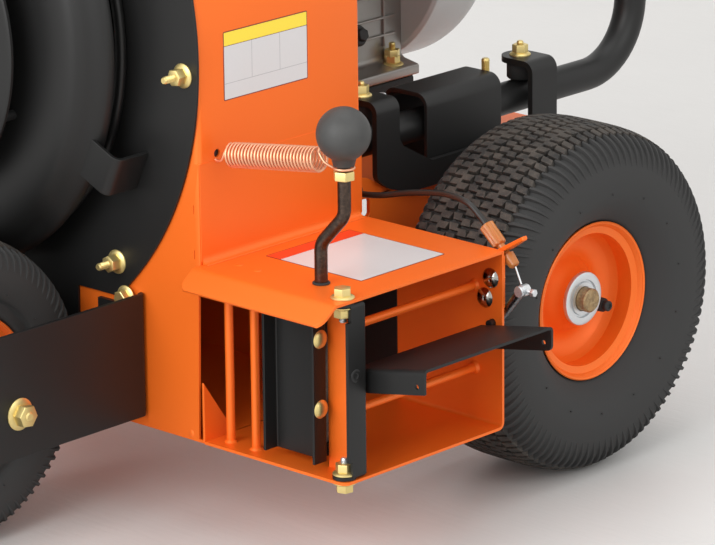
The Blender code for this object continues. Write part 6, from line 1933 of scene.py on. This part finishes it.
class BLOWER_OT_front_wheel(bpy.types.Operator):
    """Builds the front wheel, its fork arms, flange bolts and axle bolt"""

    bl_idname = "blower.front_wheel"
    bl_label = "Front wheel and fork"

    def execute(self, context):
        centre = Vector((FRONT_X, FRONT_Y, FRONT_RADIUS))
        tyre(context, "front_tyre", centre, FRONT_RADIUS, FRONT_HALF, FRONT_RIM_HALF,
             round(context.scene.blower_tyres.blocks * FRONT_RADIUS / WHEEL_RADIUS),
             "front_wheel", "front_tyre")
        rim("front_rim_pressed", centre, FRONT_RIM_HALF, FRONT_HUB_HALF, FRONT_AXLE_RADIUS, 1,
            "front_wheel", "front_rim")
        root = HOUSING_FRONT - 0.0003
        for side, word, top in ((1, "right", 0.244), (-1, "left", 0.222)):
            outer = FRONT_X + side * FORK_HALF
            inner = FRONT_X + side * 0.068
            path = [(outer, FORK_END_Y), (outer, root), (inner, root)]
            if side < 0:
                path.reverse()
            arm = folded(path, 0.005, "z", FORK_LOW, top, 0.008, 6)
            cuts = [rod(0.0085, outer - 0.01, outer + 0.01, "x", (0, FRONT_Y, FRONT_RADIUS), 32)]
            if top > 0.228:
                cuts.append(block((inner - 0.01, root - 0.02, 0.228),
                                  (outer - 0.0075, root + 0.01, top + 0.01)))
            beyond = FORK_END_Y - 0.01
            middle_y = FORK_END_Y + FORK_CORNER
            for corner_z, way in ((FORK_LOW, 1), (top, -1)):
                middle_z = corner_z + way * FORK_CORNER
                shape = [(beyond, corner_z - way * 0.01),
                         (middle_y, corner_z - way * 0.01), (middle_y, corner_z)]
                shape += arc((middle_y, middle_z), FORK_CORNER, -90 * way, -180 * way, 10)[1:]
                shape += [(beyond, middle_z)]
                cuts.append(prism(shape, "x", outer - 0.01, outer + 0.01))
            piece(f"fork_arm_{word}", arm, "black_powder_coat",
                  nodes=(f"front_fork_{word}",), cuts=cuts, edge=0.0008)
            bolts = []
            for z in FORK_BOLTS_Z:
                x = FRONT_X + side * 0.088
                bolts.append(aimed(flange_bolt(*FORK_BOLT, z * 20), (x, root - 0.005, z), (0, -1, 0)))
            piece(f"fork_bolts_{word}", together(*bolts), "yellow_zinc", crease=30)
        reach = FORK_HALF + 0.0003
        spacer = FORK_HALF - 0.0053
        thin = FRONT_AXLE_RADIUS
        half = [(thin, FRONT_HUB_HALF + 0.0004), (0.0125, FRONT_HUB_HALF + 0.0006),
                (0.0125, spacer), (thin, spacer)]
        middle = [(radius, -along) for radius, along in reversed(half)] + half
        profile = [(0, -reach), (thin, -reach)] + middle + [(thin, reach), (0, reach)]
        shaft = turned(profile, "x", centre, 40)
        nut = flange_nut(*FRONT_AXLE_HEAD[:2], 0.0115, 0.004, 0.4)
        right_end = aimed(nut, centre + Vector((reach, 0, 0)), (1, 0, 0))
        left_end = aimed(flange_bolt(*FRONT_AXLE_HEAD), centre - Vector((reach, 0, 0)), (-1, 0, 0))
        piece("front_axle_bolt", together(shaft, right_end, left_end), "yellow_zinc",
              nodes=("front_axle",), crease=30)
        return {"FINISHED"}


def sticker(name, finish, axis, base, low, high, rise, radius=0.0006):
    """A thin printed rectangle on a flat sheet, between two corners."""
    corners = [(low[0], low[1]), (high[0], low[1]), (high[0], high[1]), (low[0], high[1])]
    outline = softened(corners, radius, 3)
    piece(name, prism(outline, axis, base, base + rise), finish, crease=60)


class BLOWER_OT_panels(bpy.types.Operator):
    """Sticks two plain printed panels, with no lettering, on the wall and on the top plate"""

    bl_idname = "blower.panels"
    bl_label = "Plain panels"

    def execute(self, context):
        x = WALL_X + 0.00005
        y = (-0.3849, -0.2651)
        z = (0.4498, 0.5198)
        edge = 0.001
        band = z[1] - 0.0145
        sticker("wall_panel_border", "panel_border", "x", x, (y[0], z[0]), (y[1], z[1]), 0.0002, 0.0015)
        sticker("wall_panel_field", "panel_white", "x", x, (y[0] + edge, z[0] + edge),
                (y[1] - edge, band - 0.0006), 0.0003)
        sticker("wall_panel_band", "panel_yellow", "x", x, (y[0] + edge, band),
                (y[1] - edge, z[1] - edge), 0.0003)
        third = (y[1] - y[0]) / 3
        sticker("wall_panel_line_low", "panel_grey", "x", x, (y[0] + edge, z[0] + 0.0168),
                (y[1] - edge, z[0] + 0.0173), 0.00036)
        for step in (1, 2):
            split = y[0] + third * step
            low, high = (split - 0.00025, z[0] + 0.0173), (split + 0.00025, band - 0.0006)
            sticker(f"wall_panel_line_{step}", "panel_grey", "x", x, low, high, 0.00036)

        top = BOX_TOP + 0.00005
        x = (0.3642, 0.4951)
        y = (-0.357, -0.2341)
        band = x[0] + 0.02
        sticker("top_panel_border", "panel_border", "z", top, (x[0], y[0]), (x[1], y[1]), 0.0002, 0.0015)
        sticker("top_panel_band", "panel_red", "z", top, (x[0] + edge, y[0] + edge),
                (band, y[1] - edge), 0.0003)
        sticker("top_panel_field", "panel_white", "z", top, (band + 0.0005, y[0] + edge),
                (x[1] - edge, y[1] - edge), 0.0003)
        return {"FINISHED"}


class BLOWER_PT_panel(bpy.types.Panel):
    """Lists the blower's pieces and settings"""

    bl_idname = "BLOWER_PT_panel"
    bl_label = "Wheeled leaf blower"
    bl_space_type = "VIEW_3D"
    bl_region_type = "UI"
    bl_category = "Blower"

    def draw(self, context):
        scene = context.scene
        for group in (scene.blower_finishes, scene.blower_stage, scene.blower_spring, scene.blower_tyres):
            box = self.layout.box()
            for name in group.bl_rna.properties.keys():
                if name not in ("rna_type", "name"):
                    box.prop(group, name)
        for step in STEPS:
            self.layout.operator(step.bl_idname)


STEPS = (BLOWER_OT_finishes, BLOWER_OT_stage, BLOWER_OT_cable, BLOWER_OT_housing, BLOWER_OT_outlet,
         BLOWER_OT_post, BLOWER_OT_flap, BLOWER_OT_spring, BLOWER_OT_deflector, BLOWER_OT_intake,
         BLOWER_OT_fan, BLOWER_OT_deck, BLOWER_OT_mounts, BLOWER_OT_handle, BLOWER_OT_engine,
         BLOWER_OT_engine_top, BLOWER_OT_rear_wheels, BLOWER_OT_front_wheel, BLOWER_OT_panels)
GROUPS = {"blower_finishes": BlowerFinishes, "blower_stage": BlowerStage, "blower_spring": BlowerSpring,
          "blower_tyres": BlowerTyres}


def register():
    for group in (*GROUPS.values(), *STEPS, BLOWER_PT_panel):
        bpy.utils.register_class(group)
    for name, group in GROUPS.items():
        setattr(bpy.types.Scene, name, PointerProperty(type=group))


def unregister():
    for name in GROUPS:
        delattr(bpy.types.Scene, name)
    for group in (BLOWER_PT_panel, *reversed(STEPS), *reversed(GROUPS.values())):
        bpy.utils.unregister_class(group)


def main():
    """Builds the whole scene."""
    register()
    for step in STEPS:
        family, name = step.bl_idname.split(".")
        getattr(getattr(bpy.ops, family), name)()


if __name__ == "__main__":
    main()
